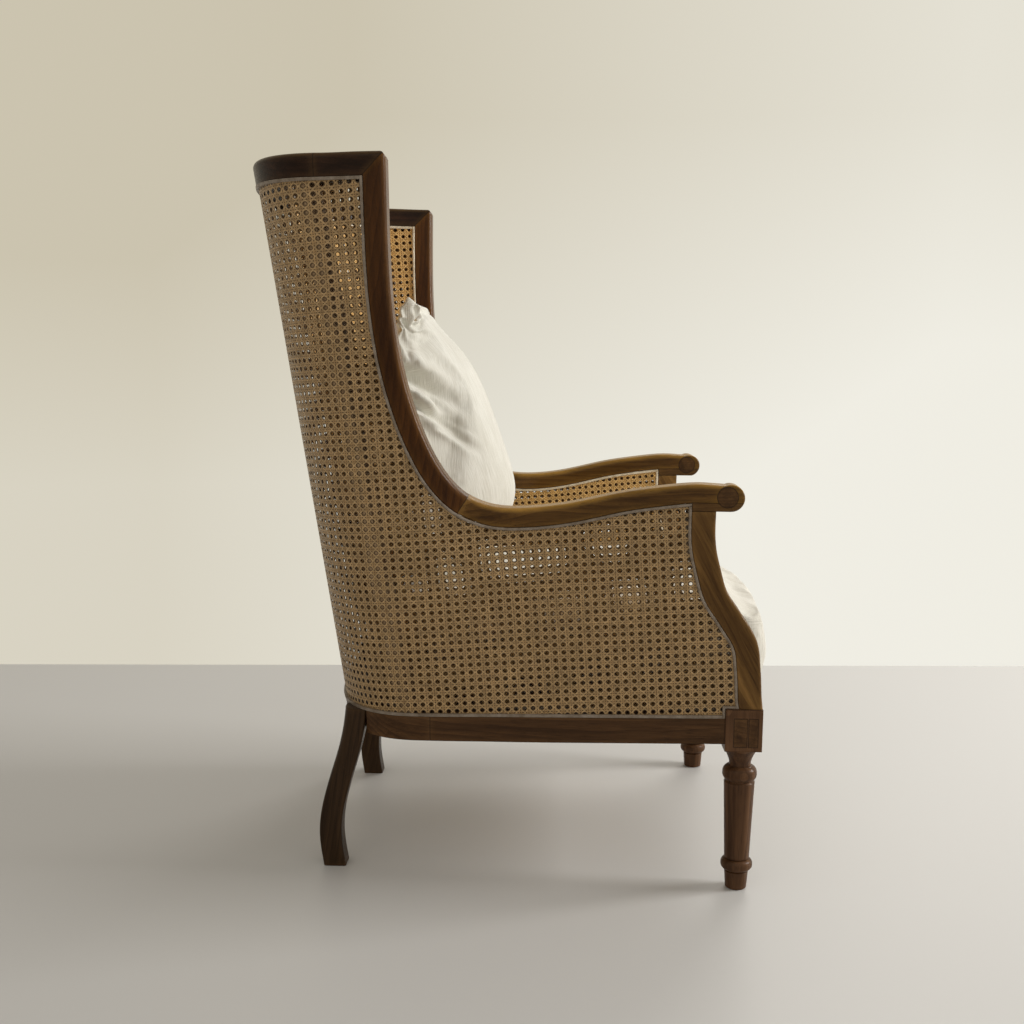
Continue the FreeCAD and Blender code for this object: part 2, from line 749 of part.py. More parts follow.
def bead_strips(depths, proud_round, flat_round):
    """The bead round the framed opening: strips along arms, posts, rails and top rail."""
    rounds = (proud_round, flat_round, flat_round, proud_round)
    arm_strip = side_stick(bead_stations(arm_stations), rounds, depths).cut(frame_edge[1])
    post_strip = side_stick(bead_stations(post_stations), rounds, depths).cut(bead_edge[0])
    post_strip = post_strip.common(box(0.0, far, -far, 0.0, block_top + bead_width, arm_level))
    ledge = [(V(0.0, y, block_top + bead_width), V(0.0, y, block_top))
             for y in (-front_reach, block_rear + bead_width)]
    ledge_strip = side_stick(ledge, rounds, depths).cut(frame_edge[1])
    drop = [(V(0.0, block_rear, z), V(0.0, block_rear + bead_width, z))
            for z in (seat_level, block_top + bead_width)]
    drop_strip = side_stick(drop, rounds, depths).cut(frame_edge[2])
    arm_strip = arm_strip.common(box(0.0, far, -far, far, 0.0, top_rail_bottom))
    side = arm_strip.fuse([post_strip, ledge_strip, drop_strip])
    round_wall = [(i / wall_steps, True) for i in range(3 * wall_steps + 1)]
    round_wall += [(u, False) for u, left in round_wall[-2::-1]]
    round_rounds = (flat_round, flat_round, flat_round, flat_round)
    low_strip = wall_stick(round_wall, strip_low, strip_high, depths, round_rounds)
    low_strip = low_strip.common(low_band).cut(bead_edge[1])
    high_strip = wall_stick(round_wall, top_strip_low, under_level, depths, round_rounds)
    high_strip = high_strip.cut(bead_edge[0])
    return Part.makeCompound([side, mirror(side), low_strip, high_strip])


outer_bead_depths = (-bead_proud, cane_inset + cane_thickness)
inner_bead_depths = (wall_thickness + bead_proud, inner_face - cane_thickness)
parts["outer_bead"] = bead_strips(outer_bead_depths, bead_round, bead_flat_round)
parts["inner_bead"] = bead_strips(inner_bead_depths, bead_round, bead_flat_round)

# Seat deck of board on cleats, with corner blocks and screws
deck_bottom = front_rail_top - deck_thickness
cleat_bottom = deck_bottom - cleat_height
deck_edge = wall_thickness + deck_gap
edge_points = [wall_point(1.0 + i / 10, seat_level, deck_edge) for i in range(21)]
deck_front = rail_rear + deck_gap
block_line = block_inner - deck_gap
side_front = wall_point(u_at(block_rear + deck_gap, seat_level), seat_level, deck_edge)
left_points = [V(block_line, deck_front, seat_level), V(block_line, side_front.y, seat_level)]
left_points += edge_points[:-1]
deck_points = left_points + [V(0.0, edge_points[-1].y, seat_level)]
deck_points += [mirrored(p) for p in left_points[::-1]]
deck_points = [V(p.x, p.y, deck_bottom) for p in deck_points]
deck = Part.Face(Part.makePolygon(deck_points + deck_points[:1])).extrude(V(0.0, 0.0, deck_thickness))
cleat_ring = wall_skin(wall_thickness, wall_thickness + cleat_width, low_levels)
cleat_slab = box(-far, far, -far, far, cleat_bottom, deck_bottom)
block_end = block_rear + corner_block_leg
cleat_ring = cleat_ring.common(cleat_slab)
side_cleat = cleat_ring.common(box(0.0, far, block_end, side_rail_joint_reach, 0.0, far))
rear_zone = box(-rear_cleat_half_length, rear_cleat_half_length, side_rail_joint_reach, far, 0.0, far)
rear_cleat = cleat_ring.common(rear_zone)
front_cleat_half = block_inner - corner_block_leg
cleat_front = rail_rear + cleat_width
front_cleat = box(-front_cleat_half, front_cleat_half, rail_rear, cleat_front, cleat_bottom, deck_bottom)
parts["seat_cleats"] = Part.makeCompound([side_cleat, mirror(side_cleat), rear_cleat, front_cleat])
inside_rail = wall_depth_x(block_rear, deck_bottom, wall_thickness)
inside_end = wall_depth_x(block_end, deck_bottom, wall_thickness)
corner_places = ((front_cleat_half, rail_rear), (block_inner, rail_rear), (block_inner, block_rear),
                 (inside_rail, block_rear), (inside_end, block_end))
corner_outline = [V(x, y, deck_bottom - corner_block_height) for x, y in corner_places]
corner_block = Part.Face(Part.makePolygon(corner_outline + corner_outline[:1]))
corner_block = corner_block.extrude(V(0.0, 0.0, corner_block_height)).cut(ring)
parts["corner_blocks"] = Part.makeCompound([corner_block, mirror(corner_block)])

screw_depth = wall_thickness + cleat_width / 2
screw_places = []
for share in screw_side_shares:
    y = mix(block_end, side_rail_joint_reach, share)
    x = wall_depth_x(y, deck_bottom, screw_depth)
    screw_places.extend([(x, y), (-x, y)])
for share in screw_cross_shares:
    screw_places.append((front_cleat_half * share, rail_rear + cleat_width / 2))
    x = rear_cleat_half_length * share
    place = wall_point(3.0 - abs(x) / corner_end_half_low, deck_bottom, screw_depth)
    screw_places.append((x, place.y))
screws = []
for x, y in screw_places:
    head_place = V(x, y, front_rail_top - screw_head_height)
    head = Part.makeCylinder(screw_head_radius, screw_head_height, head_place)
    shank = Part.makeCylinder(screw_radius, screw_length, V(x, y, front_rail_top - screw_length))
    screws.append(head.fuse(shank).removeSplitter())
screws = Part.makeCompound(screws)
parts["seat_deck"] = deck.cut(screws)
parts["seat_cleats"] = parts["seat_cleats"].cut(screws)
parts["deck_screws"] = screws

# Seat cushion: boxed sides drawn in at the seams, crowned on top towards the front
cushion_bottom = front_rail_top + cushion_gap


def cushion_outline(share, z):
    """Rounded plan of the cushion at one level of its boxed side."""
    corners = (
        (cushion_front_half_width, -cushion_front_reach, cushion_front_round),
        (cushion_side_half_width, cushion_side_end_reach, cushion_rear_round),
        (cushion_rear_half_width, cushion_rear_corner_reach, cushion_rear_round),
        (0.0, cushion_rear_reach, cushion_bow_round),
        (-cushion_rear_half_width, cushion_rear_corner_reach, cushion_rear_round),
        (-cushion_side_half_width, cushion_side_end_reach, cushion_rear_round),
        (-cushion_front_half_width, -cushion_front_reach, cushion_front_round),
        (0.0, -cushion_front_reach - cushion_front_bow, cushion_bow_round),
    )
    points = [V(x * share, y * share, z) for x, y, r in corners]
    return rounded_outline(points, [r * share for x, y, r in corners])


cushion_body = loft([cushion_outline(size, cushion_bottom + cushion_side_height * rise)
                     for rise, size in cushion_side_shares])
seam_level = cushion_bottom + cushion_side_height
cushion_length = cushion_front_reach + cushion_front_bow + cushion_rear_reach
crown_sections = []
for place, seam_drop, rise in cushion_crown_shares:
    y = -cushion_front_reach - cushion_front_bow + cushion_length * place
    x = cushion_front_half_width + cushion_front_round
    seam_z = seam_level + cushion_crown * seam_drop
    top_z = seam_level + cushion_crown * rise
    under = cushion_bottom - cushion_crown
    top_arc = Part.Arc(V(-x, y, seam_z), V(0.0, y, top_z), V(x, y, seam_z)).toShape()
    lines = polygon_edges([V(x, y, seam_z), V(x, y, under), V(-x, y, under), V(-x, y, seam_z)])
    crown_sections.append(Part.Wire([top_arc] + lines))
cushion = cushion_body.common(loft(crown_sections)).removeSplitter()
parts["seat_cushion"] = cushion

# Back pillow: lens-shaped levels between a knife edge at the bottom and one at the top
edge = pillow_edge_thickness / 2
plumb_line = Part.makeLine(V(0.0, pillow_bottom_reach - edge, 0.0), V(0.0, pillow_bottom_reach - edge, far))
cushion_top = max(v.Z for v in cushion.common(plumb_line).Vertexes)
pillow_bottom_level = cushion_top + pillow_gap
pillow_height = pillow_top_level - pillow_bottom_level
pillow_sections = []
for rise, front_share, rear_share in pillow_shares:
    z = pillow_bottom_level + pillow_height * rise
    y = mix(pillow_bottom_reach, pillow_top_reach, rise)
    x = mix(pillow_half_width, pillow_top_half_width, rise ** 2)
    front_y = y - edge - pillow_front_bulge * front_share
    rear_y = y + edge + pillow_rear_bulge * rear_share
    front_arc = Part.Arc(V(-x, y - edge, z), V(0.0, front_y, z), V(x, y - edge, z)).toShape()
    rear_arc = Part.Arc(V(x, y + edge, z), V(0.0, rear_y, z), V(-x, y + edge, z)).toShape()
    pillow_sections.append(Part.Wire([
        front_arc, Part.LineSegment(V(x, y - edge, z), V(x, y + edge, z)).toShape(), rear_arc,
        Part.LineSegment(V(-x, y + edge, z), V(-x, y - edge, z)).toShape()]))
pillow = loft(pillow_sections)
parts["back_pillow"] = pillow

# One shared frame: the middle of the whole on the floor
boxes = [shape.optimalBoundingBox(False, False) for shape in parts.values()]
middle_y = (min(b.YMin for b in boxes) + max(b.YMax for b in boxes)) / 2
for name, shape in parts.items():
    placed = shape.copy()
    placed.translate(V(0.0, -middle_y, 0.0))
    placed.exportStep("parts/" + name + ".step")
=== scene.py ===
import math

import bpy
import numpy as np
from mathutils import Matrix, Vector
from mathutils.bvhtree import BVHTree


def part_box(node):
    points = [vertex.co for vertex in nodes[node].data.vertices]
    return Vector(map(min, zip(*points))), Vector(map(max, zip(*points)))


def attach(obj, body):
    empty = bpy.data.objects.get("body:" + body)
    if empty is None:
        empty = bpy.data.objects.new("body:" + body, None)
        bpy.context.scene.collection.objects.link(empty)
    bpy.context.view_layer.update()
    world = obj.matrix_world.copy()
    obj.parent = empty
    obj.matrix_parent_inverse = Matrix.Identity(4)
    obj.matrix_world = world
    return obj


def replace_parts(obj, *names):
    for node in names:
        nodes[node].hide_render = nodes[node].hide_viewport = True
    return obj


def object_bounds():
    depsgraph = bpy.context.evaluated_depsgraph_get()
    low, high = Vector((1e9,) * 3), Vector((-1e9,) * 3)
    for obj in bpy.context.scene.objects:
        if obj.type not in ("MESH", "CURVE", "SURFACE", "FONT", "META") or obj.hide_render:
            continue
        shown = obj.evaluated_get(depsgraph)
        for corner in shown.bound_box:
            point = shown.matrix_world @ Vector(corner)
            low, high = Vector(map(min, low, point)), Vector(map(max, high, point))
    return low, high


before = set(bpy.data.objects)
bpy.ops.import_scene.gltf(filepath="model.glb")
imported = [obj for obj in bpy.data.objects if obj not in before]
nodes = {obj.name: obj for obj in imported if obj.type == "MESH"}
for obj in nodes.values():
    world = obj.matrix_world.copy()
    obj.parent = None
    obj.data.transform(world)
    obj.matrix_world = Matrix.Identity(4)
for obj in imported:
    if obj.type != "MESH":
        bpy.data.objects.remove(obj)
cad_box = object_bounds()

scene = bpy.context.scene

# Camera
# It stands square to the chair's right side, a little above the arm, and looks slightly down.
# Its place was solved from both front legs, the arms, the wings and the rows of cane.
# Reaches, here and below, are measured back from the datum, which lies behind the front legs.
front_leg_low, front_leg_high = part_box("front_leg_right")
front_leg_reach = 0.311
datum = (front_leg_low.y + front_leg_high.y) / 2 + front_leg_reach
image_width = 1024
focal_pixels = 1239.63
optical_row = 536.87
camera_yaw, camera_pitch, camera_roll = 0.0265, 0.1447, 0.0094
camera_data = bpy.data.cameras.new("camera")
camera_data.sensor_width = 36.0
camera_data.lens = camera_data.sensor_width * focal_pixels / image_width
camera_data.shift_y = (optical_row - image_width / 2) / image_width
camera = bpy.data.objects.new("camera", camera_data)
scene.collection.objects.link(camera)
ahead = Vector((math.cos(camera_yaw) * math.cos(camera_pitch), math.sin(camera_yaw) * math.cos(camera_pitch),
                -math.sin(camera_pitch)))
level_right = ahead.cross(Vector((0, 0, 1))).normalized()
level_up = level_right.cross(ahead)
right = level_right * math.cos(camera_roll) + level_up * math.sin(camera_roll)
up = level_up * math.cos(camera_roll) - level_right * math.sin(camera_roll)
turn = Matrix((right, up, -ahead)).transposed()
camera_aside, camera_forward, camera_height = 2.15998, 0.00266, 0.82479
camera_place = (-camera_aside, datum - camera_forward, camera_height)
camera.matrix_world = Matrix.Translation(camera_place) @ turn.to_4x4()
scene.camera = camera

# Front legs
# Each is one square of hardwood with its lower part turned to a collar, a long taper and an
# ankle bead, stained dark. The block at the top is mortised for the front rail's double tenon.


def put(tree, kind, inputs=None, **properties):
    """New node with its properties and inputs set; an input takes a value or another socket."""
    node = tree.nodes.new(kind)
    for name, value in properties.items():
        setattr(node, name, value)
    for name, value in (inputs or {}).items():
        if isinstance(value, bpy.types.NodeSocket):
            tree.links.new(value, node.inputs[name])
        else:
            node.inputs[name].default_value = value
    return node


def calc(tree, operation, first, second=0.0):
    return put(tree, "ShaderNodeMath", {0: first, 1: second}, operation=operation).outputs[0]


def spread(tree, value, low, high, to_low=0.0, to_high=1.0):
    """Maps a range of values onto another and holds it there."""
    settings = {0: value, 1: low, 2: high, 3: to_low, 4: to_high}
    return put(tree, "ShaderNodeMapRange", settings).outputs[0]


def blend_colours(tree, share, first, second, blend_type="MIX"):
    settings = {0: share, 6: first, 7: second}
    return put(tree, "ShaderNodeMix", settings, data_type="RGBA", blend_type=blend_type).outputs[2]


def stretched(tree, vector, factors):
    return put(tree, "ShaderNodeVectorMath", {0: vector, 1: factors}, operation="MULTIPLY").outputs[0]


def speckle(tree, vector, detail=3.0, roughness=0.5, distortion=0.0):
    settings = {"Vector": vector, "Scale": 1.0, "Detail": detail, "Roughness": roughness,
                "Distortion": distortion}
    return put(tree, "ShaderNodeTexNoise", settings).outputs[0]


def new_material(name):
    material = bpy.data.materials.new(name)
    material.use_nodes = True
    tree = material.node_tree
    return material, tree, tree.nodes["Principled BSDF"]


def new_group(name, inputs, outputs):
    """Empty node group for an effect that several materials share."""
    group = bpy.data.node_groups.new(name, "ShaderNodeTree")
    for label, kind in inputs:
        group.interface.new_socket(label, in_out="INPUT", socket_type=kind)
    for label in outputs:
        group.interface.new_socket(label, in_out="OUTPUT", socket_type="NodeSocketFloat")
    return group, group.nodes.new("NodeGroupInput"), group.nodes.new("NodeGroupOutput")


def build_wood_grain():
    """Grain that runs along the vector's X: growth rings, dark streaks and fine fibres, in metres."""
    group, given, result = new_group(
        "wood_grain", (("Vector", "NodeSocketVector"), ("Ring Width", "NodeSocketFloat")),
        ("Rings", "Streaks", "Fibre"))
    vector = given.outputs["Vector"]
    drift = speckle(group, stretched(group, vector, (3.0, 11.0, 11.0)), 2.0)
    split = put(group, "ShaderNodeSeparateXYZ", {0: vector})
    heart_across, heart_deep = 0.31, 0.17
    trunk_taper, ring_wander = 0.045, 0.035
    across = calc(group, "ADD", split.outputs[1], heart_across)
    depth = calc(group, "ADD", split.outputs[2], heart_deep)
    radius = calc(group, "SQRT", calc(group, "ADD", calc(group, "POWER", across, 2.0),
                                      calc(group, "POWER", depth, 2.0)))
    radius = calc(group, "ADD", radius, calc(group, "MULTIPLY", split.outputs[0], trunk_taper))
    radius = calc(group, "ADD", radius, calc(group, "MULTIPLY", drift, ring_wander))
    turns = calc(group, "DIVIDE", radius, given.outputs["Ring Width"])
    rings = calc(group, "POWER", calc(group, "FRACT", turns), 2.2)
    streaks = speckle(group, stretched(group, vector, (1.6, 46.0, 46.0)), 6.0, 0.66, 0.3)
    fibre = speckle(group, stretched(group, vector, (22.0, 760.0, 760.0)), 2.0, 0.6)
    group.links.new(rings, result.inputs["Rings"])
    group.links.new(spread(group, streaks, 0.36, 0.66), result.inputs["Streaks"])
    group.links.new(spread(group, fibre, 0.3, 0.7), result.inputs["Fibre"])
    return group


def build_edge_wear():
    """Masks for corners that wear lighter, for the side that faces Toward, which takes hand wear and a
    painted highlight, and for glue lines.
    """
    group, given, result = new_group(
        "edge_wear", (("Vector", "NodeSocketVector"), ("Reach", "NodeSocketFloat"),
                      ("Toward", "NodeSocketVector")), ("Edge", "Wear And Highlight", "Seam"))
    glue_line_reach = 0.0013
    inside = put(group, "ShaderNodeAmbientOcclusion", {"Distance": given.outputs["Reach"]},
                 samples=6, inside=True, only_local=True)
    seam = put(group, "ShaderNodeAmbientOcclusion", {"Distance": glue_line_reach},
               samples=6, inside=True, only_local=True)
    patches = speckle(group, stretched(group, given.outputs["Vector"], (9.0, 30.0, 30.0)), 4.0, 0.6)
    uneven = spread(group, patches, 0.32, 0.62, 0.35, 1.0)
    normal = put(group, "ShaderNodeNewGeometry").outputs["Normal"]
    facing = put(group, "ShaderNodeVectorMath", {0: normal, 1: given.outputs["Toward"]},
                 operation="DOT_PRODUCT").outputs["Value"]
    edge = calc(group, "MULTIPLY", spread(group, inside.outputs["AO"], 0.92, 0.45), uneven)
    # Painted highlight and hand wear: the side that faces Toward is marked, in patches, to be lightened.
    wear_and_highlight_mask = calc(group, "MULTIPLY", spread(group, facing, 0.1, 0.8), uneven)
    group.links.new(edge, result.inputs["Edge"])
    group.links.new(wear_and_highlight_mask, result.inputs["Wear And Highlight"])
    group.links.new(spread(group, seam.outputs["AO"], 0.95, 0.6), result.inputs["Seam"])
    return group


wood_grain = build_wood_grain()
edge_wear = build_edge_wear()
grain_turns = {"x": (0.0, 0.0, 0.0), "y": (0.0, 0.0, -math.pi / 2), "z": (0.0, math.pi / 2, 0.0)}
worn_corner_reach = 0.011
ring_share, seam_share = 0.62, 0.8
glue_line = (0.012, 0.006, 0.003, 1.0)


def stained_wood(name, along, dark, base, wear_and_highlight_colour, edge_wear_share, ring_width=0.0085, gloss=0.34,
                 tilt=(0.0, 0.0, 0.0), toward=(0.0, 0.0, 1.0), wear_and_highlight_share=0.0):
    """Stained and waxed hardwood with its grain along one axis of the chair.

    Its stain goes from dark to base, and to a lighter colour at corners that wear and on the side that faces
    toward, which is partly hand wear and partly a painted highlight."""
    material, tree, shader = new_material(name)
    place = put(tree, "ShaderNodeTexCoord").outputs["Object"]
    if any(tilt):
        place = put(tree, "ShaderNodeMapping", {"Vector": place, "Rotation": tilt}).outputs[0]
    place = put(tree, "ShaderNodeMapping", {"Vector": place, "Rotation": grain_turns[along]}).outputs[0]
    grain = put(tree, "ShaderNodeGroup", node_tree=wood_grain)
    tree.links.new(place, grain.inputs["Vector"])
    grain.inputs["Ring Width"].default_value = ring_width
    wear = put(tree, "ShaderNodeGroup", node_tree=edge_wear)
    tree.links.new(place, wear.inputs["Vector"])
    wear.inputs["Reach"].default_value = worn_corner_reach
    wear.inputs["Toward"].default_value = Vector(toward).normalized()
    body = blend_colours(tree, grain.outputs["Streaks"], (*dark, 1.0), (*base, 1.0))
    lines = calc(tree, "MULTIPLY", grain.outputs["Rings"], ring_share)
    body = blend_colours(tree, lines, body, (*dark, 1.0))
    # Corners lighten with wear; the side that faces toward lightens partly with hand wear and partly as a
    # painted highlight.
    wear_and_highlight_mask = calc(tree, "MAXIMUM", calc(tree, "MULTIPLY", wear.outputs["Edge"], edge_wear_share),
                  calc(tree, "MULTIPLY", wear.outputs["Wear And Highlight"], wear_and_highlight_share))
    body = blend_colours(tree, wear_and_highlight_mask, body, (*wear_and_highlight_colour, 1.0))
    pores = spread(tree, grain.outputs["Fibre"], 0.0, 0.35, 0.62, 1.0)
    body = blend_colours(tree, 1.0, body, pores, "MULTIPLY")
    body = blend_colours(tree, calc(tree, "MULTIPLY", wear.outputs["Seam"], seam_share), body, glue_line)
    tree.links.new(body, shader.inputs["Base Color"])
    sheen = spread(tree, grain.outputs["Fibre"], 0.0, 1.0, gloss + 0.14, gloss - 0.04)
    tree.links.new(sheen, shader.inputs["Roughness"])
    bump = put(tree, "ShaderNodeBump",
               {"Height": grain.outputs["Fibre"], "Strength": 0.22, "Distance": 0.0006})
    tree.links.new(bump.outputs[0], shader.inputs["Normal"])
    shader.inputs["Specular IOR Level"].default_value = 0.05
    shader.inputs["Coat Weight"].default_value = 0.15
    shader.inputs["Coat Roughness"].default_value = 0.18
    return material


def dress(material, slot, *names):
    """Gives CAD nodes their material. The slot is not used."""
    for name in names:
        nodes[name].data.materials.clear()
        nodes[name].data.materials.append(material)
        for face in nodes[name].data.polygons:
            face.material_index = 0


def both(name):
    return name + "_right", name + "_left"


leg_wood = stained_wood("leg_wood", "z", (0.045, 0.02, 0.009), (0.15, 0.074, 0.034),
                        (0.24, 0.125, 0.058), 0.3)
dress(leg_wood, "frame_wood", *both("front_leg"))

# Seat rails and rear legs
# The rails under the cane are sawn hardwood, bent pieces at the rear corners and a front rail
# tenoned through both leg blocks. The rear legs are cut from plank and kick back to the floor.
rail_tones = ((0.036, 0.016, 0.006), (0.12, 0.058, 0.022), (0.2, 0.105, 0.04))
side_rail_wood = stained_wood("side_rail_wood", "y", *rail_tones, 0.25)
cross_rail_wood = stained_wood("cross_rail_wood", "x", *rail_tones, 0.25)
rear_leg_wood = stained_wood("rear_leg_wood", "z", (0.023, 0.012, 0.005), (0.068, 0.036, 0.016),
                             (0.13, 0.072, 0.03), 0.3, tilt=(-0.12, 0.0, 0.0))
dress(side_rail_wood, "frame_wood", *both("side_seat_rail"), *both("rear_corner_rail"))
dress(cross_rail_wood, "frame_wood", "front_seat_rail", "back_seat_rail")
dress(rear_leg_wood, "frame_wood", *both("rear_leg"))

# Arms and arm posts
# Each arm is shaped from one plank, rounded over on top and rolled at the nose, with a block
# glued under the nose and a round inlay on both cheeks. The post is sawn to an S and glued on.
# Painted highlight: the arm's upward faces are lightened to golden amber, partly as hand wear and partly for
# the light they catch.
arm_wood = stained_wood("arm_wood", "y", (0.045, 0.019, 0.005), (0.16, 0.078, 0.019),
                        (0.42, 0.23, 0.045), 0.3, gloss=0.26, wear_and_highlight_share=0.9)
nose_block_wood = stained_wood("nose_block_wood", "y", (0.04, 0.018, 0.006), (0.12, 0.058, 0.018),
                               (0.24, 0.13, 0.035), 0.3, ring_width=0.006)
post_wood = stained_wood("post_wood", "z", (0.065, 0.03, 0.008), (0.26, 0.138, 0.04),
                         (0.34, 0.185, 0.055), 0.35, ring_width=0.011, tilt=(0.5, 0.0, 0.0))
disc_wood = stained_wood("disc_wood", "x", (0.035, 0.016, 0.006), (0.13, 0.064, 0.022),
                         (0.16, 0.08, 0.028), 0.1, ring_width=0.004)
dress(arm_wood, "frame_wood", *both("arm"))
dress(nose_block_wood, "frame_wood", *both("arm_nose_block"))
dress(post_wood, "frame_wood", *both("arm_post"))
dress(disc_wood, "inlay_wood", *both("arm_scroll_discs"))

# Wing stiles and top rail
# The stile carries the arm's curve on up to a mitre at the top, and the rail runs round the back
# in five lengths. All are rounded over where the hand meets them, and lightened to amber on the faces
# that look up or forward, partly as hand wear and partly as a painted highlight.
# Painted highlight: the stile's front faces, toward the light in front, are lightened to amber, partly as
# hand wear.
front_edge = (0.0, -1.0, 0.25)
stile_wood = stained_wood("stile_wood", "z", (0.03, 0.01, 0.0024), (0.1, 0.037, 0.008),
                          (0.22, 0.1, 0.014), 0.35, gloss=0.26, toward=front_edge, wear_and_highlight_share=0.35)
top_tones = ((0.012, 0.005, 0.0026), (0.042, 0.018, 0.009), (0.2, 0.11, 0.036))
# Painted highlight: the top rail's upper faces are lightened, partly as hand wear.
top_side_wood = stained_wood("top_side_wood", "y", *top_tones, 0.25, gloss=0.26, wear_and_highlight_share=0.5)
top_back_wood = stained_wood("top_back_wood", "x", *top_tones, 0.25, gloss=0.26, wear_and_highlight_share=0.5)
dress(stile_wood, "frame_wood", *both("wing_stile"))
dress(top_side_wood, "frame_wood", *both("top_side_rail"), *both("top_corner_rail"))
dress(top_back_wood, "frame_wood", "top_back_rail")

# Uprights, deck, cleats and corner blocks
# Plain sawn hardwood and a board of plywood, left raw, because the cane and the cushion hide
# them. The screws that hold the deck down are zinc plated.
raw_tones = ((0.3, 0.19, 0.1), (0.52, 0.37, 0.22), (0.58, 0.44, 0.29))
raw_upright = stained_wood("raw_upright", "z", *raw_tones, 0.2, gloss=0.6)
raw_batten = stained_wood("raw_batten", "x", *raw_tones, 0.2, gloss=0.6)
plywood = stained_wood("plywood", "x", (0.4, 0.28, 0.16), (0.6, 0.46, 0.3), (0.62, 0.5, 0.35), 0.2, gloss=0.6)
dress(raw_upright, "inner_wood", *both("back_post"))
dress(raw_batten, "inner_wood", "seat_cleats", "corner_blocks")
dress(plywood, "deck_board", "seat_deck")
zinc, zinc_tree, zinc_shader = new_material("zinc")
zinc_place = put(zinc_tree, "ShaderNodeTexCoord").outputs["Object"]
zinc_spots = speckle(zinc_tree, stretched(zinc_tree, zinc_place, (900.0, 900.0, 900.0)))
zinc_tree.links.new(spread(zinc_tree, zinc_spots, 0.3, 0.7, 0.28, 0.5), zinc_shader.inputs["Roughness"])
zinc_tone = blend_colours(zinc_tree, zinc_spots, (0.42, 0.42, 0.43, 1.0), (0.6, 0.6, 0.6, 1.0))
zinc_tree.links.new(zinc_tone, zinc_shader.inputs["Base Color"])
zinc_shader.inputs["Metallic"].default_value = 1.0
dress(zinc, "screw_steel", "deck_screws")

# Cane
# Two sheets of machine-woven cane, one outside and one inside the frame, each pressed into a
# groove from arm post to arm post round the back. Paired strands run level and upright, single
# strands cross them both ways, and an eight-sided hole is left about every 13 mm.
seat_level = 0.27
chair_height = cad_box[1].z
chair_half_width = cad_box[1].x
front_line = -front_leg_reach
block_side = 0.057
front_half_width, arm_half_width, arm_level = 0.319, 0.312, 0.622
stile_reach = 0.245
# Each of these pairs is at the seat and at the top: where the side ends and the back begins, half
# the width over both places, and how far back the middle stands and bows.
corner_start = (0.19, 0.325)
corner_half_width = (0.293, 0.359)
corner_end_half = (0.154, 0.237)
back_reach = (0.34, 0.465)
back_bow = (0.012, 0.019)
flare_start, flare_full = -0.02, 0.2
corner_fullness = 0.56


def mix(low, high, share):
    return low + (high - low) * share


def smooth(share):
    share = np.clip(share, 0.0, 1.0)
    return share * share * (3.0 - 2.0 * share)


def low_half_width(y):
    return mix(front_half_width, corner_half_width[0], (y - front_line) / (corner_start[0] - front_line))


wall_rise = chair_height - seat_level
front_lean = (arm_half_width - front_half_width) / (arm_level - seat_level)
wing_lean = (chair_half_width - low_half_width(stile_reach)) / wall_rise
corner_lean = (corner_half_width[1] - low_half_width(corner_start[1])) / wall_rise


def half_width(y, z):
    """Half the width over the side walls, at a reach and a level."""
    lean = mix(front_lean, wing_lean, smooth((y - flare_start) / (flare_full - flare_start)))
    lean = mix(lean, corner_lean, smooth((y - stile_reach) / (corner_start[1] - stile_reach)))
    return low_half_width(y) + lean * (z - seat_level)


def plan_point(u, z):
    """Outer face of the wall: u goes 0 to 1 along the side, to 2 round the corner, to 3 at the back."""
    share = (z - seat_level) / wall_rise
    corner_y = mix(*corner_start, share)
    corner_x = half_width(corner_y, z)
    end_x = mix(*corner_end_half, share)
    bow = mix(*back_bow, share)
    back_y = mix(*back_reach, share)
    side_y = mix(front_line - block_side, corner_y, u)
    slope_step = 0.0046
    slope = (corner_x - half_width(corner_y - slope_step, z)) / slope_step
    reach_y = corner_fullness * (back_y - bow - corner_y)
    reach_x = corner_fullness * (corner_x - end_x)
    t = np.clip(u - 1.0, 0.0, 1.0)
    weights = ((1 - t) ** 3, 3 * t * (1 - t) ** 2, 3 * t * t * (1 - t), t ** 3)
    xs = (corner_x, corner_x + slope * reach_y, end_x + reach_x, end_x)
    end_slope = 2 * bow / end_x
    ys = (corner_y, corner_y + reach_y, back_y - bow - end_slope * reach_x, back_y - bow)
    corner = (sum(w * x for w, x in zip(weights, xs)), sum(w * y for w, y in zip(weights, ys)))
    back_x = end_x * (3.0 - u)
    back = (back_x, back_y - bow * (back_x / end_x) ** 2)
    x = np.where(u <= 1.0, half_width(side_y, z), np.where(u <= 2.0, corner[0], back[0]))
    y = np.where(u <= 1.0, side_y, np.where(u <= 2.0, corner[1], back[1]))
    return x, y


def wall_point(u, z, depth):
    """Point at a depth inside the outer face, on the sitter's left."""
    step = 0.002
    x, y = plan_point(u, z)
    xa, ya = plan_point(np.maximum(u - step, 0.0), z)
    xb, yb = plan_point(np.minimum(u + step, 3.0), z)
    run = np.hypot(xb - xa, yb - ya)
    return x - (yb - ya) / run * depth, y + (xb - xa) / run * depth


# A sheet's pitch is from hole to hole, level and upright, and its first hole has a reach and a level.
# Lean sets each row farther back than the one below, and fall sets each column lower than the last.
# Growth widens the upper rows, and drift shifts the far side's holes against the near side's. Columns
# start, and rows start and end, at the numbers given.
weaves = {
    "outer_cane": {"depth": 0.0029, "pitch": (0.01313, 0.012236), "first": (-0.1853, 0.2996),
                   "lean": 0.000909, "fall": 0.000896, "growth": 0.0, "drift": 0.0,
                   "columns": -13, "rows": (-3, 68)},
    "inner_cane": {"depth": 0.0431, "pitch": (0.01185, 0.01113), "first": (-0.1973, 0.3192),
                   "lean": 0.001238, "fall": 0.001073, "growth": 0.00004, "drift": 0.5,
                   "columns": -15, "rows": (-7, 73)},
}
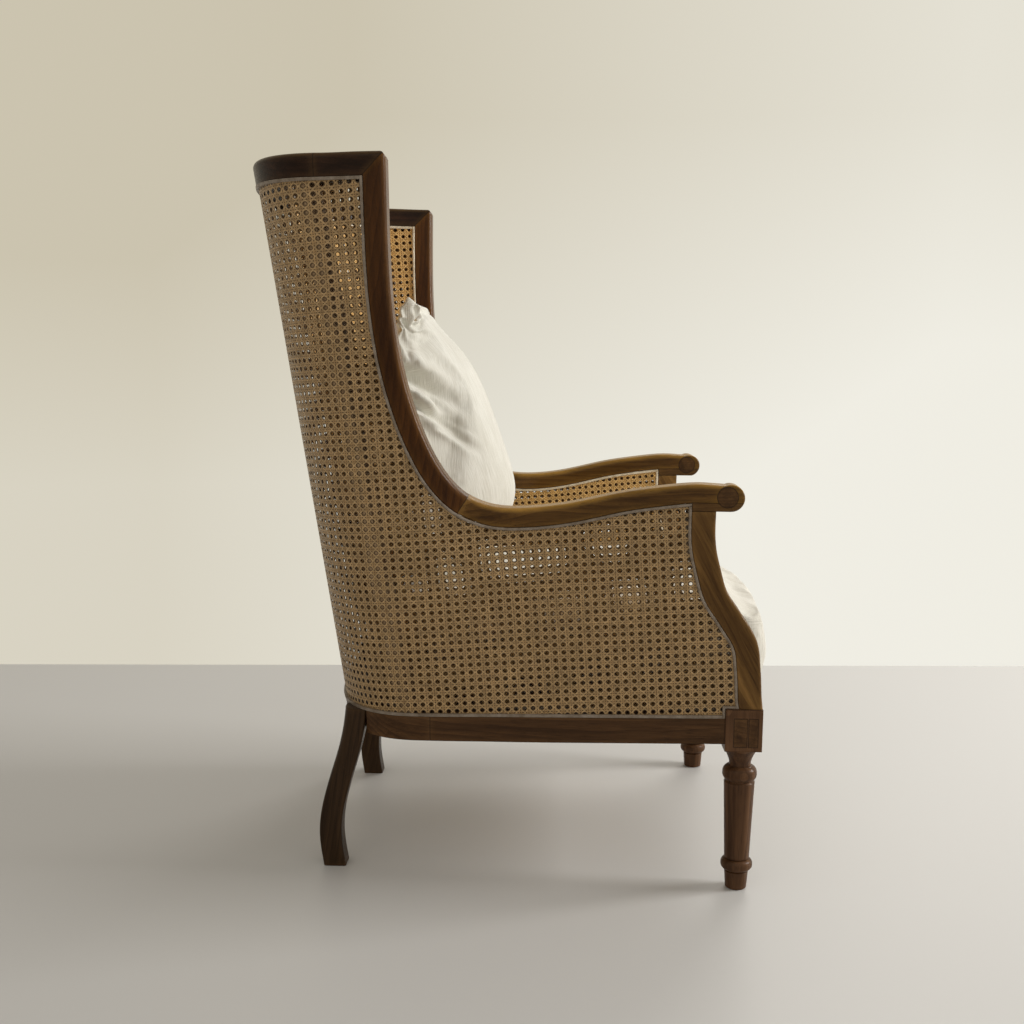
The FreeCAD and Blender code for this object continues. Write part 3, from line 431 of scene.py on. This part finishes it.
# The fall eases off from this column to the middle of the back, and growth begins at this row.
level_from, wider_from = 35.0, 26.0
drift_columns = 20.0
hole_size = 0.232
table_levels = np.linspace(0.2, 1.14, 25)
table_shares = np.linspace(0.0, 1.0, 161)


def corner_column(weave, z, row):
    """Column of the weave that meets the start of the rear corner."""
    reach = mix(*corner_start, (z - seat_level) / wall_rise)
    return (reach - weave["first"][0] - weave["lean"] * row) / weave["pitch"][0]


def weave_sheet(weave):
    """Vertices, triangles and weave places of one whole sheet."""
    depth = weave["depth"]
    column_pitch, row_pitch = weave["pitch"]
    stations = np.linspace(1.0, 3.0, 321)
    lengths, table = [], []
    for z in table_levels:
        x, y = wall_point(stations, z, depth)
        run = np.concatenate(([0.0], np.cumsum(np.hypot(np.diff(x), np.diff(y)))))
        lengths.append(run[-1])
        table.append(np.interp(table_shares, run / run[-1], stations))
    table = np.array(table)
    middle_level = 0.7
    middle_length = np.interp(middle_level, table_levels, lengths)
    middle_row = (middle_level - weave["first"][1]) / row_pitch
    middle = corner_column(weave, middle_level, middle_row) + middle_length / column_pitch
    middle = round(middle - 0.5) + 0.5
    first_column = weave["columns"]
    first_row, last_row = weave["rows"]
    columns = int(2 * (middle - first_column + 0.5))

    def place(column, row):
        """Point of the sheet at a column and row of the weave."""
        far_half = column > middle
        near = np.where(far_half, 2 * middle - column, column)
        near = near + weave["drift"] * smooth((column - middle) / drift_columns)
        beyond = np.clip(near - level_from, 0.0, None)
        levelled = near - beyond ** 2 / (2 * (middle - level_from))
        z = weave["first"][1] - weave["fall"] * levelled + row_pitch * row
        z = z + weave["growth"] * np.clip(row - wider_from, 0.0, None) ** 2 / 2
        z = z + weave["drift"] * row_pitch * smooth((column - middle) / drift_columns + 0.5)
        y = weave["first"][0] + column_pitch * near + weave["lean"] * row
        corner_y = mix(*corner_start, (z - seat_level) / wall_rise)
        start = corner_column(weave, z, row)
        side_u = (y - front_line + block_side) / (corner_y - front_line + block_side)
        share = np.clip((near - start) / (middle - start), 0.0, 1.0) * (len(table_shares) - 1)
        level = np.interp(z, table_levels, np.arange(len(table_levels)))
        low_level = np.minimum(level.astype(int), len(table_levels) - 2)
        low_share = np.minimum(share.astype(int), len(table_shares) - 2)
        up_part = level - low_level
        on_part = share - low_share
        lower = mix(table[low_level, low_share], table[low_level, low_share + 1], on_part)
        upper = mix(table[low_level + 1, low_share], table[low_level + 1, low_share + 1], on_part)
        u = np.where(near <= start, side_u, mix(lower, upper, up_part))
        x, y = wall_point(u, z, depth)
        return np.stack((np.where(far_half, x, -x), y + datum, z), -1)

    column = first_column + np.arange(columns)
    row_count = last_row - first_row
    row = first_row + np.arange(row_count)
    edge_column = first_column - 0.5 + np.arange(columns + 1)
    edge_row = first_row - 0.5 + np.arange(row_count + 1)
    grids = []
    for a, b in ((edge_column, edge_row), (edge_column, row), (column, edge_row)):
        grids.append(np.stack(np.meshgrid(a, b, indexing="ij"), -1))
    corner_id = np.arange(grids[0][..., 0].size).reshape(columns + 1, row_count + 1)
    upright_id = corner_id.size + np.arange((columns + 1) * row_count).reshape(columns + 1, row_count)
    level_id = corner_id.size + upright_id.size + np.arange(columns * (row_count + 1))
    level_id = level_id.reshape(columns, row_count + 1)
    hole_start = corner_id.size + upright_id.size + level_id.size
    hole_id = hole_start + np.arange(columns * row_count * 8).reshape(columns, row_count, 8)
    angles = np.radians(22.5 + 45.0 * np.arange(8))
    centre = np.stack(np.meshgrid(column, row, indexing="ij"), -1)[:, :, None, :]
    holes = centre + hole_size * np.stack((np.cos(angles), np.sin(angles)), -1)
    places = np.concatenate([g.reshape(-1, 2) for g in grids] + [holes.reshape(-1, 2)])
    rim = np.stack((upright_id[1:], corner_id[1:, 1:], level_id[:, 1:], corner_id[:-1, 1:],
                    upright_id[:-1], corner_id[:-1, :-1], level_id[:, :-1], corner_id[1:, :-1]), -1)
    faces = []
    for k in range(8):
        faces.append(np.stack((rim[..., k], hole_id[..., k], hole_id[..., k - 1]), -1))
        faces.append(np.stack((rim[..., k], rim[..., (k + 1) % 8], hole_id[..., k]), -1))
    faces = np.stack(faces, 2)
    return place(places[:, 0].astype(float), places[:, 1].astype(float)), faces, places


def trim_to(points, faces, guide):
    """Keeps the cells over the solid sheet and draws the loose rim in under the bead."""
    tucked = 0.003
    touching = 0.0013
    solid = nodes[guide].data
    tree = BVHTree.FromPolygons([v.co for v in solid.vertices], [p.vertices for p in solid.polygons])
    inside = np.zeros(len(points), bool)
    moved = points.copy()
    for i, point in enumerate(points):
        spot, normal, face, gap = tree.find_nearest(Vector(point))
        inside[i] = gap < touching
        if not inside[i]:
            spot = np.array(spot)
            moved[i] = spot + (point - spot) / gap * min(gap, tucked)
    kept = inside[faces].any(axis=(2, 3))
    return moved, faces[kept].reshape(-1, 3)


def cane_mesh(name, guide):
    """Woven sheet in place of a plain one, with its columns and rows kept for the strands."""
    points, faces, places = weave_sheet(weaves[guide])
    points, faces = trim_to(points, faces, guide)
    sides = points[faces]
    area = np.linalg.norm(np.cross(sides[:, 1] - sides[:, 0], sides[:, 2] - sides[:, 0]), axis=1)
    sliver = 2e-8
    faces = faces[area > sliver]
    used, renumbered = np.unique(faces, return_inverse=True)
    faces = renumbered.reshape(-1, 3)
    mesh = bpy.data.meshes.new(name)
    mesh.from_pydata(points[used].tolist(), [], faces.tolist())
    layer = mesh.uv_layers.new(name="weave")
    layer.data.foreach_set("uv", places[used][faces.ravel()].astype(np.float32).ravel())
    mesh.shade_smooth()
    sheet = bpy.data.objects.new(name, mesh)
    scene.collection.objects.link(sheet)
    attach(sheet, "frame")
    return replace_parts(sheet, guide)


def build_cane_weave():
    """Strands of the weave from its column and row: height, gaps between strands and crossing strands."""
    group, given, result = new_group("cane_weave", (("Vector", "NodeSocketVector"),),
                                     ("Height", "Strand", "Crossing"))
    split = put(group, "ShaderNodeSeparateXYZ", {0: given.outputs[0]})
    column, row = split.outputs[0], split.outputs[1]

    pair, strand_half, crossing_half = 0.132, 0.112, 0.15

    def strip(value, offset, half):
        """One at the middle of strands that repeat once a hole, nought at their edges."""
        away = calc(group, "PINGPONG", calc(group, "ADD", value, 100.0 + offset), 0.5)
        return spread(group, away, half, 0.0)

    level_strands = calc(group, "MAXIMUM", strip(row, 0.5 - pair, strand_half),
                         strip(row, 0.5 + pair, strand_half))
    upright_strands = calc(group, "MAXIMUM", strip(column, 0.5 - pair, strand_half),
                           strip(column, 0.5 + pair, strand_half))
    rising = strip(calc(group, "SUBTRACT", column, row), 0.5, crossing_half)
    falling = strip(calc(group, "ADD", column, row), 0.5, crossing_half)
    paired = calc(group, "MAXIMUM", level_strands, upright_strands)
    crossing = calc(group, "MAXIMUM", rising, falling)
    strand = spread(group, calc(group, "MAXIMUM", paired, crossing), 0.05, 0.5)
    height = calc(group, "MAXIMUM", calc(group, "MULTIPLY", paired, 0.6), crossing)
    group.links.new(height, result.inputs["Height"])
    group.links.new(strand, result.inputs["Strand"])
    group.links.new(spread(group, crossing, 0.1, 0.5), result.inputs["Crossing"])
    return group


cane_weave = build_cane_weave()


def woven_cane(name, gap, strand, crossing):
    """Split cane, glossy on its outer skin, with painted shade in the gaps between strands and a tone that
    changes from one strand to the next.
    """
    material, tree, shader = new_material(name)
    place = put(tree, "ShaderNodeUVMap", uv_map="weave").outputs[0]
    weave = put(tree, "ShaderNodeGroup", node_tree=cane_weave)
    tree.links.new(place, weave.inputs[0])
    level_tone = speckle(tree, stretched(tree, place, (0.13, 4.1, 1.0)), 3.0, 0.7)
    upright_tone = speckle(tree, stretched(tree, place, (4.1, 0.13, 1.0)), 3.0, 0.7)
    patch = speckle(tree, stretched(tree, place, (0.9, 0.9, 1.0)), 4.0, 0.7)
    tone = calc(tree, "ADD", calc(tree, "MULTIPLY", level_tone, upright_tone),
                calc(tree, "MULTIPLY", patch, 0.45))
    tone = spread(tree, tone, 0.3, 0.72, 0.5, 1.4)
    body = blend_colours(tree, weave.outputs["Crossing"], (*strand, 1.0), (*crossing, 1.0))
    body = blend_colours(tree, 1.0, body, tone, "MULTIPLY")
    # Painted shade: the gap colour fills the crevices between strands and the rims of the holes.
    body = blend_colours(tree, weave.outputs["Strand"], (*gap, 1.0), body)
    tree.links.new(body, shader.inputs["Base Color"])
    bump = put(tree, "ShaderNodeBump",
               {"Height": weave.outputs["Height"], "Strength": 0.8, "Distance": 0.0012})
    tree.links.new(bump.outputs[0], shader.inputs["Normal"])
    tree.links.new(spread(tree, patch, 0.3, 0.7, 0.5, 0.36), shader.inputs["Roughness"])
    shader.inputs["Specular IOR Level"].default_value = 0.3
    return material


# The first colour of each sheet is painted shade for the gaps between strands.
outer_cane = cane_mesh("outer_cane_weave", "outer_cane")
outer_cane.data.materials.append(
    woven_cane("outer_cane", (0.06, 0.031, 0.012), (0.43, 0.27, 0.12), (0.55, 0.37, 0.18)))
inner_cane = cane_mesh("inner_cane_weave", "inner_cane")
inner_cane.data.materials.append(
    woven_cane("inner_cane", (0.2, 0.09, 0.026), (0.68, 0.4, 0.13), (0.82, 0.53, 0.205)))

# Reed beads
# A split reed is glued and tapped into the groove over the edge of each sheet, all round the
# opening. The outer one has greyed, and the inner one is pale and almost bare.


def reed(name, dark, pale):
    """Split reed, blotched and a little rough."""
    material, tree, shader = new_material(name)
    place = put(tree, "ShaderNodeTexCoord").outputs["Object"]
    blotch = speckle(tree, stretched(tree, place, (55.0, 55.0, 55.0)), 5.0, 0.7)
    speck = speckle(tree, stretched(tree, place, (900.0, 900.0, 900.0)), 2.0)
    body = blend_colours(tree, spread(tree, blotch, 0.35, 0.65), (*dark, 1.0), (*pale, 1.0))
    tree.links.new(body, shader.inputs["Base Color"])
    tree.links.new(spread(tree, speck, 0.3, 0.7, 0.42, 0.6), shader.inputs["Roughness"])
    bump = put(tree, "ShaderNodeBump", {"Height": speck, "Strength": 0.25, "Distance": 0.0004})
    tree.links.new(bump.outputs[0], shader.inputs["Normal"])
    return material


dress(reed("outer_reed", (0.15, 0.11, 0.075), (0.29, 0.24, 0.19)), "outer_bead", "outer_bead")
dress(reed("inner_reed", (0.5, 0.4, 0.27), (0.78, 0.7, 0.56)), "inner_bead", "inner_bead")

# Seat cushion
# A loose boxed cushion of soft foam in an off-white cotton cover, crowned on top, with a welted
# seam round the top and the bottom where the cover puckers, and sides that pull in between them.


def soft_copy(name, source, voxel):
    """Even mesh of a soft solid's shape, ready for the cover to be blown up on it."""
    data = nodes[source].data.copy()
    piece = bpy.data.objects.new(name, data)
    scene.collection.objects.link(piece)
    data.materials.clear()
    bpy.context.view_layer.objects.active = piece
    for other in bpy.context.selected_objects:
        other.select_set(False)
    piece.select_set(True)
    data.remesh_voxel_size = voxel
    bpy.ops.object.voxel_remesh()
    return piece


def coordinates(mesh, kind="co"):
    """The places of a mesh's vertices, or their normals."""
    flat = np.zeros(len(mesh.vertices) * 3, np.float32)
    mesh.vertices.foreach_get(kind, flat)
    return flat.reshape(-1, 3).astype(float)


def set_coordinates(mesh, points):
    mesh.vertices.foreach_set("co", points.astype(np.float32).ravel())
    mesh.update()


def inflate(piece, held, growth, pressure, cap, frames=20):
    """Blows the cover up with its seams held, so that spare cloth puckers beside them."""
    start = coordinates(piece.data)
    group = piece.vertex_groups.new(name="held")
    group.add(np.nonzero(held)[0].tolist(), 1.0, "REPLACE")
    cloth = piece.modifiers.new("cover", "CLOTH")
    settings = cloth.settings
    settings.quality = 6
    settings.mass = 0.25
    settings.tension_stiffness = 25
    settings.compression_stiffness = 25
    settings.bending_stiffness = 0.6
    settings.use_pressure = True
    settings.uniform_pressure_force = pressure
    settings.shrink_min = -growth
    settings.vertex_group_mass = "held"
    settings.effector_weights.gravity = 0.0
    cloth.collision_settings.use_collision = False
    cloth.point_cache.frame_start = 1
    cloth.point_cache.frame_end = frames
    for frame_number in range(1, frames + 1):
        scene.frame_set(frame_number)
    graph = bpy.context.evaluated_depsgraph_get()
    moved = coordinates(piece.evaluated_get(graph).data)
    piece.modifiers.remove(cloth)
    step = moved - start
    size = np.linalg.norm(step, axis=1, keepdims=True)
    set_coordinates(piece.data, start + step * np.minimum(1.0, cap / np.maximum(size, 1e-9)))
    scene.frame_set(1)


def smooth_cover(piece):
    """Halves the cover's mesh, so that folds and creases can be pressed into it."""
    smoother = piece.modifiers.new("smooth", "SUBSURF")
    smoother.levels = smoother.render_levels = 1
    bpy.context.view_layer.objects.active = piece
    bpy.ops.object.modifier_apply(modifier=smoother.name)


def finish_cover(piece, body, node):
    """Puts the cover on its body in place of the plain solid."""
    piece.data.shade_smooth()
    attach(piece, body)
    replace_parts(piece, node)


def build_cloth_weave():
    """Fine ribbed cotton: ribs, uneven yarn, broad soft shading and puckers under a level seam.

    The ribs stand upright on every side, so the sides take theirs from Y and the rest from X."""
    group, given, result = new_group(
        "cloth_weave", (("Vector", "NodeSocketVector"), ("Seam Level", "NodeSocketFloat")),
        ("Ribs", "Yarn", "Shade", "Puckers"))
    vector = given.outputs["Vector"]
    normal = put(group, "ShaderNodeNewGeometry").outputs["Normal"]
    sideways = calc(group, "ABSOLUTE", put(group, "ShaderNodeSeparateXYZ", {0: normal}).outputs[0])
    front_ribs = speckle(group, stretched(group, vector, (900.0, 34.0, 34.0)), 2.0, 0.6)
    side_ribs = speckle(group, stretched(group, vector, (34.0, 900.0, 34.0)), 2.0, 0.6)
    ribs = put(group, "ShaderNodeMix",
               {0: spread(group, sideways, 0.55, 0.8), 2: front_ribs, 3: side_ribs}).outputs[0]
    yarn = speckle(group, stretched(group, vector, (1300.0, 340.0, 1300.0)), 1.0)
    shade = speckle(group, stretched(group, vector, (24.0, 9.0, 9.0)), 3.0, 0.6)
    gathers = speckle(group, stretched(group, vector, (16.0, 16.0, 230.0)), 2.0, 0.5, 0.4)
    below = calc(group, "SUBTRACT", given.outputs["Seam Level"],
                 put(group, "ShaderNodeSeparateXYZ", {0: vector}).outputs[2])
    near_seam = calc(group, "MULTIPLY", spread(group, below, -0.004, 0.001),
                     spread(group, below, 0.026, 0.008))
    group.links.new(spread(group, ribs, 0.3, 0.7), result.inputs["Ribs"])
    group.links.new(yarn, result.inputs["Yarn"])
    group.links.new(shade, result.inputs["Shade"])
    puckers = calc(group, "MULTIPLY", near_seam, spread(group, gathers, 0.3, 0.7))
    group.links.new(puckers, result.inputs["Puckers"])
    return group


cloth_weave = build_cloth_weave()


def cotton(name, dark, pale, seam_level=-1.0):
    """Off-white ribbed cotton, matt, with a little nap that catches the light at a slant."""
    material, tree, shader = new_material(name)
    place = put(tree, "ShaderNodeTexCoord").outputs["Object"]
    weave = put(tree, "ShaderNodeGroup", node_tree=cloth_weave)
    tree.links.new(place, weave.inputs["Vector"])
    weave.inputs["Seam Level"].default_value = seam_level
    tone = calc(tree, "ADD", calc(tree, "MULTIPLY", weave.outputs["Ribs"], 0.5),
                calc(tree, "MULTIPLY", weave.outputs["Shade"], 0.6))
    body = blend_colours(tree, spread(tree, tone, 0.25, 0.8), (*dark, 1.0), (*pale, 1.0))
    tree.links.new(body, shader.inputs["Base Color"])
    height = calc(tree, "ADD", weave.outputs["Ribs"], calc(tree, "MULTIPLY", weave.outputs["Yarn"], 0.6))
    height = calc(tree, "ADD", height, calc(tree, "MULTIPLY", weave.outputs["Puckers"], 6.0))
    bump = put(tree, "ShaderNodeBump", {"Height": height, "Strength": 0.5, "Distance": 0.0008})
    tree.links.new(bump.outputs[0], shader.inputs["Normal"])
    tree.links.new(spread(tree, weave.outputs["Yarn"], 0.3, 0.7, 0.92, 0.8), shader.inputs["Roughness"])
    shader.inputs["Sheen Weight"].default_value = 0.2
    shader.inputs["Specular IOR Level"].default_value = 0.2
    return material


seat_low, seat_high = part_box("seat_cushion")
seat_box_height = 0.158
seat_seam = seat_low.z + seat_box_height
welt_half, bottom_welt = 0.009, 0.012
seat_cushion = soft_copy("seat_cushion_cover", "seat_cushion", 0.0065)
points = coordinates(seat_cushion.data)
on_side = np.abs(coordinates(seat_cushion.data, "normal")[:, 2]) < 0.75
at_top_seam = (np.abs(points[:, 2] - seat_seam) < welt_half) & on_side
at_bottom_seam = points[:, 2] - seat_low.z < bottom_welt
before_width, before_depth = 0.988, 0.997
points[:, 0] *= before_width
points[:, 1] = seat_high.y + (points[:, 1] - seat_high.y) * before_depth
set_coordinates(seat_cushion.data, points)
inflate(seat_cushion, at_top_seam | at_bottom_seam, growth=0.015, pressure=2.5, cap=0.006)
points = coordinates(seat_cushion.data)
front_droop, front_reach, front_length = 0.015, 0.14, 0.12
shoulder_droop, shoulder_reach, shoulder_length = 0.009, 0.042, 0.022
shoulder_from, shoulder_full = 0.12, 0.05
low_tuck, tuck_height = 0.012, 0.1
toward_front = smooth((seat_low.y + front_reach - points[:, 1]) / front_length)
height = points[:, 2] - seat_low.z
points[:, 2] -= front_droop * toward_front * smooth(height / shoulder_from)
shoulder = np.exp(-((points[:, 1] - seat_low.y - shoulder_reach) / shoulder_length) ** 2)
shoulder = shoulder * smooth((height - shoulder_from) / shoulder_full)
points[:, 2] -= shoulder_droop * shoulder
points[:, 1] += low_tuck * toward_front * (1.0 - smooth(height / tuck_height))
set_coordinates(seat_cushion.data, points)
smooth_cover(seat_cushion)
finish_cover(seat_cushion, "seat_cushion", "seat_cushion")
# Painted light: this cover's cotton is a little paler than the pillow's, though it is the same cloth, because
# the seat's top is more lit.
seat_cushion.data.materials.append(
    cotton("seat_cotton", (0.66, 0.63, 0.54), (0.85, 0.83, 0.76), seat_seam - front_droop))

# Back pillow
# A loose feather pillow in the same cotton, sewn from two panels with a knife edge, so that its
# top corners stand up as crumpled ears and slack folds run in from the seam beside the wings.
pillow_low, pillow_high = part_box("back_pillow")
back_pillow = soft_copy("back_pillow_cover", "back_pillow", 0.0055)
points = coordinates(back_pillow.data)
pillow_height = pillow_high.z - pillow_low.z
rise = np.clip((points[:, 2] - pillow_low.z) / pillow_height, 0.0, 1.0)
low_half, top_half = 0.25, 0.212
low_seam, top_seam, seam_half = 0.19, 0.215, 0.008
half = mix(low_half, top_half, rise ** 2)
side = points[:, 0] / half
seam_y = mix(datum + low_seam, datum + top_seam, rise)
side_rim, end_rim = 0.93, 0.03
at_rim = (np.abs(side) > side_rim) | (rise > 1.0 - end_rim) | (rise < end_rim)
at_seam = (np.abs(points[:, 1] - seam_y) < seam_half) & at_rim
side_pull, corners_back, bottom_lift, top_sag = 0.012, 0.02, 0.006, 0.017
before_thickness = 0.91
corner_rise, sag_from, sag_full = 0.4, 0.72, 0.28
points[:, 0] -= side_pull * (1.0 - (2.0 * rise - 1.0) ** 2) * side * np.abs(side) ** 2
points[:, 1] = seam_y + (points[:, 1] - seam_y) * before_thickness
points[:, 1] += corners_back * np.abs(side) ** 3 * smooth(rise / corner_rise)
points[:, 2] += bottom_lift * (1.0 - rise)
points[:, 2] -= top_sag * (1.0 - np.abs(side) ** 3) * smooth((rise - sag_from) / sag_full)
set_coordinates(back_pillow.data, points)
inflate(back_pillow, at_seam, growth=0.035, pressure=3.0, cap=0.01)
smooth_cover(back_pillow)


def press_folds(mesh, folds, sign):
    """Presses slack folds in on one side; each has a start and end (y, z), a depth and a width."""
    points = coordinates(mesh)
    normals = coordinates(mesh, "normal")
    fold_from, fold_full = 0.07, 0.1
    back_limit, back_fade = 0.35, 0.4
    narrow_start, widening = 0.7, 0.5
    before_start, fade_from, fade_length = 0.35, 0.5, 0.55
    outer = smooth((sign * points[:, 0] - fold_from) / fold_full)
    outer = outer * smooth((back_limit - normals[:, 1]) / back_fade)
    for start, end, depth, width in folds:
        start, end = np.array(start), np.array(end)
        length = np.linalg.norm(end - start)
        along = (end - start) / length
        away = points[:, 1:] - start
        run = away @ along / length
        width_there = width * (narrow_start + widening * np.clip(run, 0.0, 1.0))
        aside = (away[:, 0] * along[1] - away[:, 1] * along[0]) / width_there
        fade = smooth((run + before_start) / before_start)
        fade = fade * (1.0 - smooth((run - fade_from) / fade_length))
        press = depth * (1.0 - aside * aside) * np.exp(-aside * aside / 2.0) * fade * outer
        points -= normals * press[:, None]
    set_coordinates(mesh, points)


def knot_ear(mesh, sign, turn, lean):
    """Draws a top corner in to a neck and leaves its tip standing, twisted and creased.

    The lean is how far the tip bends in, forward and up."""
    points = coordinates(mesh)
    reach, neck, blend_length = 0.085, 0.047, 0.03
    tip_back, tip_drop = 0.226, 0.014
    slant, fall = 0.55, 0.835
    tip = np.array((sign * top_half, datum + tip_back, pillow_high.z - tip_drop))
    inward = np.array((-sign * slant, 0.0, -fall))
    across = np.array((-fall * sign, 0.0, slant)) * sign
    away = points - tip
    down, aside, back = away @ inward, away @ across, away[:, 1]
    width = np.interp(down, (0.0, 0.016, neck, reach), (0.8, 0.78, 0.3, 1.0))
    thickness = np.interp(down, (0.0, 0.02, neck, reach), (0.7, 1.15, 0.4, 1.0))
    creased = np.interp(down, (0.0, 0.014, neck, reach), (0.1, 0.7, 0.8, 0.0))
    long_crease, cross_crease = 0.004, 0.003
    long_spacing, cross_spacing, cross_slant = 0.0034, 0.005, 0.012
    crease = creased * (long_crease * np.sin(aside * width / long_spacing + 1.0)
                        + cross_crease * np.sin(down / cross_spacing + aside / cross_slant))
    aside = aside * width
    back = back * thickness + crease
    angle = turn * np.interp(down, (0.0, neck, reach), (1.0, 0.6, 0.0))
    turned_aside = aside * np.cos(angle) - back * np.sin(angle)
    turned_back = aside * np.sin(angle) + back * np.cos(angle)
    bend = np.interp(down, (0.0, neck, reach), (1.0, 0.35, 0.0))
    moved = tip + down[:, None] * inward + turned_aside[:, None] * across
    moved[:, 1] = tip[1] + turned_back - lean[1] * bend
    moved[:, 0] -= sign * lean[0] * bend
    moved[:, 2] += lean[2] * bend
    share = smooth((reach - down) / blend_length)[:, None]
    set_coordinates(mesh, np.where((down < reach)[:, None], points + (moved - points) * share, points))


right_folds = (((0.174, 0.806), (0.084, 0.724), 0.023, 0.0145),
               ((0.166, 0.758), (0.074, 0.696), 0.017, 0.0095),
               ((0.108, 0.705), (0.050, 0.668), 0.006, 0.007),
               ((0.178, 0.862), (0.150, 0.800), 0.004, 0.005),
               ((0.176, 0.880), (0.135, 0.850), 0.003, 0.0045))
left_folds = (((0.170, 0.792), (0.085, 0.722), 0.009, 0.0105),
              ((0.160, 0.730), (0.080, 0.672), 0.007, 0.009))
press_folds(back_pillow.data, right_folds, -1.0)
press_folds(back_pillow.data, left_folds, 1.0)
knot_ear(back_pillow.data, -1.0, 0.8, (0.012, 0.01, -0.009))
knot_ear(back_pillow.data, 1.0, -0.6, (0.012, -0.02, -0.008))
finish_cover(back_pillow, "back_pillow", "back_pillow")
back_pillow.data.materials.append(cotton("pillow_cotton", (0.62, 0.6, 0.52), (0.82, 0.81, 0.745)))

# Studio
# A plain pale floor that ends beyond the chair, and a pale backdrop with painted shade, darker toward +Y
# and higher up. One large soft light stands before the chair, one beyond it catches its upper edges, and
# a weak one is beside the camera.
floor_end = 1.1
floor_slant = 0.057
floor_span = 7.0
floor_mesh = bpy.data.meshes.new("floor")
floor_run = floor_slant * floor_span
floor_corners = [(-floor_span, -floor_span, 0.0), (floor_end + floor_run, -floor_span, 0.0),
                 (floor_end - floor_run, floor_span, 0.0), (-floor_span, floor_span, 0.0)]
floor_mesh.from_pydata(floor_corners, [], [(0, 1, 2, 3)])
floor = bpy.data.objects.new("floor", floor_mesh)
scene.collection.objects.link(floor)
floor_paint = bpy.data.materials.new("floor_paint")
floor_paint.use_nodes = True
floor_shader = floor_paint.node_tree.nodes["Principled BSDF"]
floor_shader.inputs["Base Color"].default_value = (0.64, 0.635, 0.62, 1.0)
floor_shader.inputs["Roughness"].default_value = 0.5
floor_mesh.materials.append(floor_paint)


def soft_light(name, place, target, size, power, colour):
    light = bpy.data.lights.new(name, "AREA")
    light.shape = "SQUARE"
    light.size = size
    light.energy = power
    light.color = colour
    lamp = bpy.data.objects.new(name, light)
    lamp.location = place
    lamp.rotation_mode = "QUATERNION"
    lamp.rotation_quaternion = (Vector(target) - Vector(place)).to_track_quat("-Z", "Y")
    scene.collection.objects.link(lamp)


soft_light("key", (0.2, -4.2, 2.3), (0.0, 0.0, 0.5), 1.7, 150.0, (1.0, 0.98, 0.95))
soft_light("rim", (2.6, -1.4, 2.7), (0.0, 0.0, 0.6), 1.3, 28.0, (1.0, 0.97, 0.92))
soft_light("fill", (-3.6, 1.2, 3.0), (0.0, 0.0, 0.5), 3.0, 12.0, (1.0, 0.94, 0.84))

world = bpy.data.worlds.new("studio")
world.use_nodes = True
scene.world = world
tree = world.node_tree
tree.nodes.clear()
aim = put(tree, "ShaderNodeSeparateXYZ", {0: put(tree, "ShaderNodeTexCoord").outputs["Generated"]})
# Painted shade on the backdrop: darker toward +Y and higher up, paler toward -Y and low down; glossy rays see
# it too.
painted_backdrop_light = calc(tree, "ADD", spread(tree, aim.outputs[1], 0.3, -0.3, 0.0, 0.8),
               spread(tree, aim.outputs[2], 0.18, -0.1, 0.0, 0.5))
wall = blend_colours(tree, spread(tree, painted_backdrop_light, 0.2, 1.1), (0.6, 0.55, 0.43, 1.0), (0.87, 0.85, 0.77, 1.0))
backdrop = put(tree, "ShaderNodeBackground", {"Color": wall, "Strength": 1.0})
glow = put(tree, "ShaderNodeBackground", {"Color": (1.0, 0.94, 0.85, 1.0), "Strength": 0.42})
path = put(tree, "ShaderNodeLightPath")
seen = calc(tree, "MAXIMUM", path.outputs["Is Camera Ray"],
            calc(tree, "MAXIMUM", path.outputs["Is Glossy Ray"], path.outputs["Is Transmission Ray"]))
surround = put(tree, "ShaderNodeMixShader", {0: seen, 1: glow.outputs[0], 2: backdrop.outputs[0]})
put(tree, "ShaderNodeOutputWorld", {"Surface": surround.outputs[0]})
scene.view_settings.view_transform = "Standard"
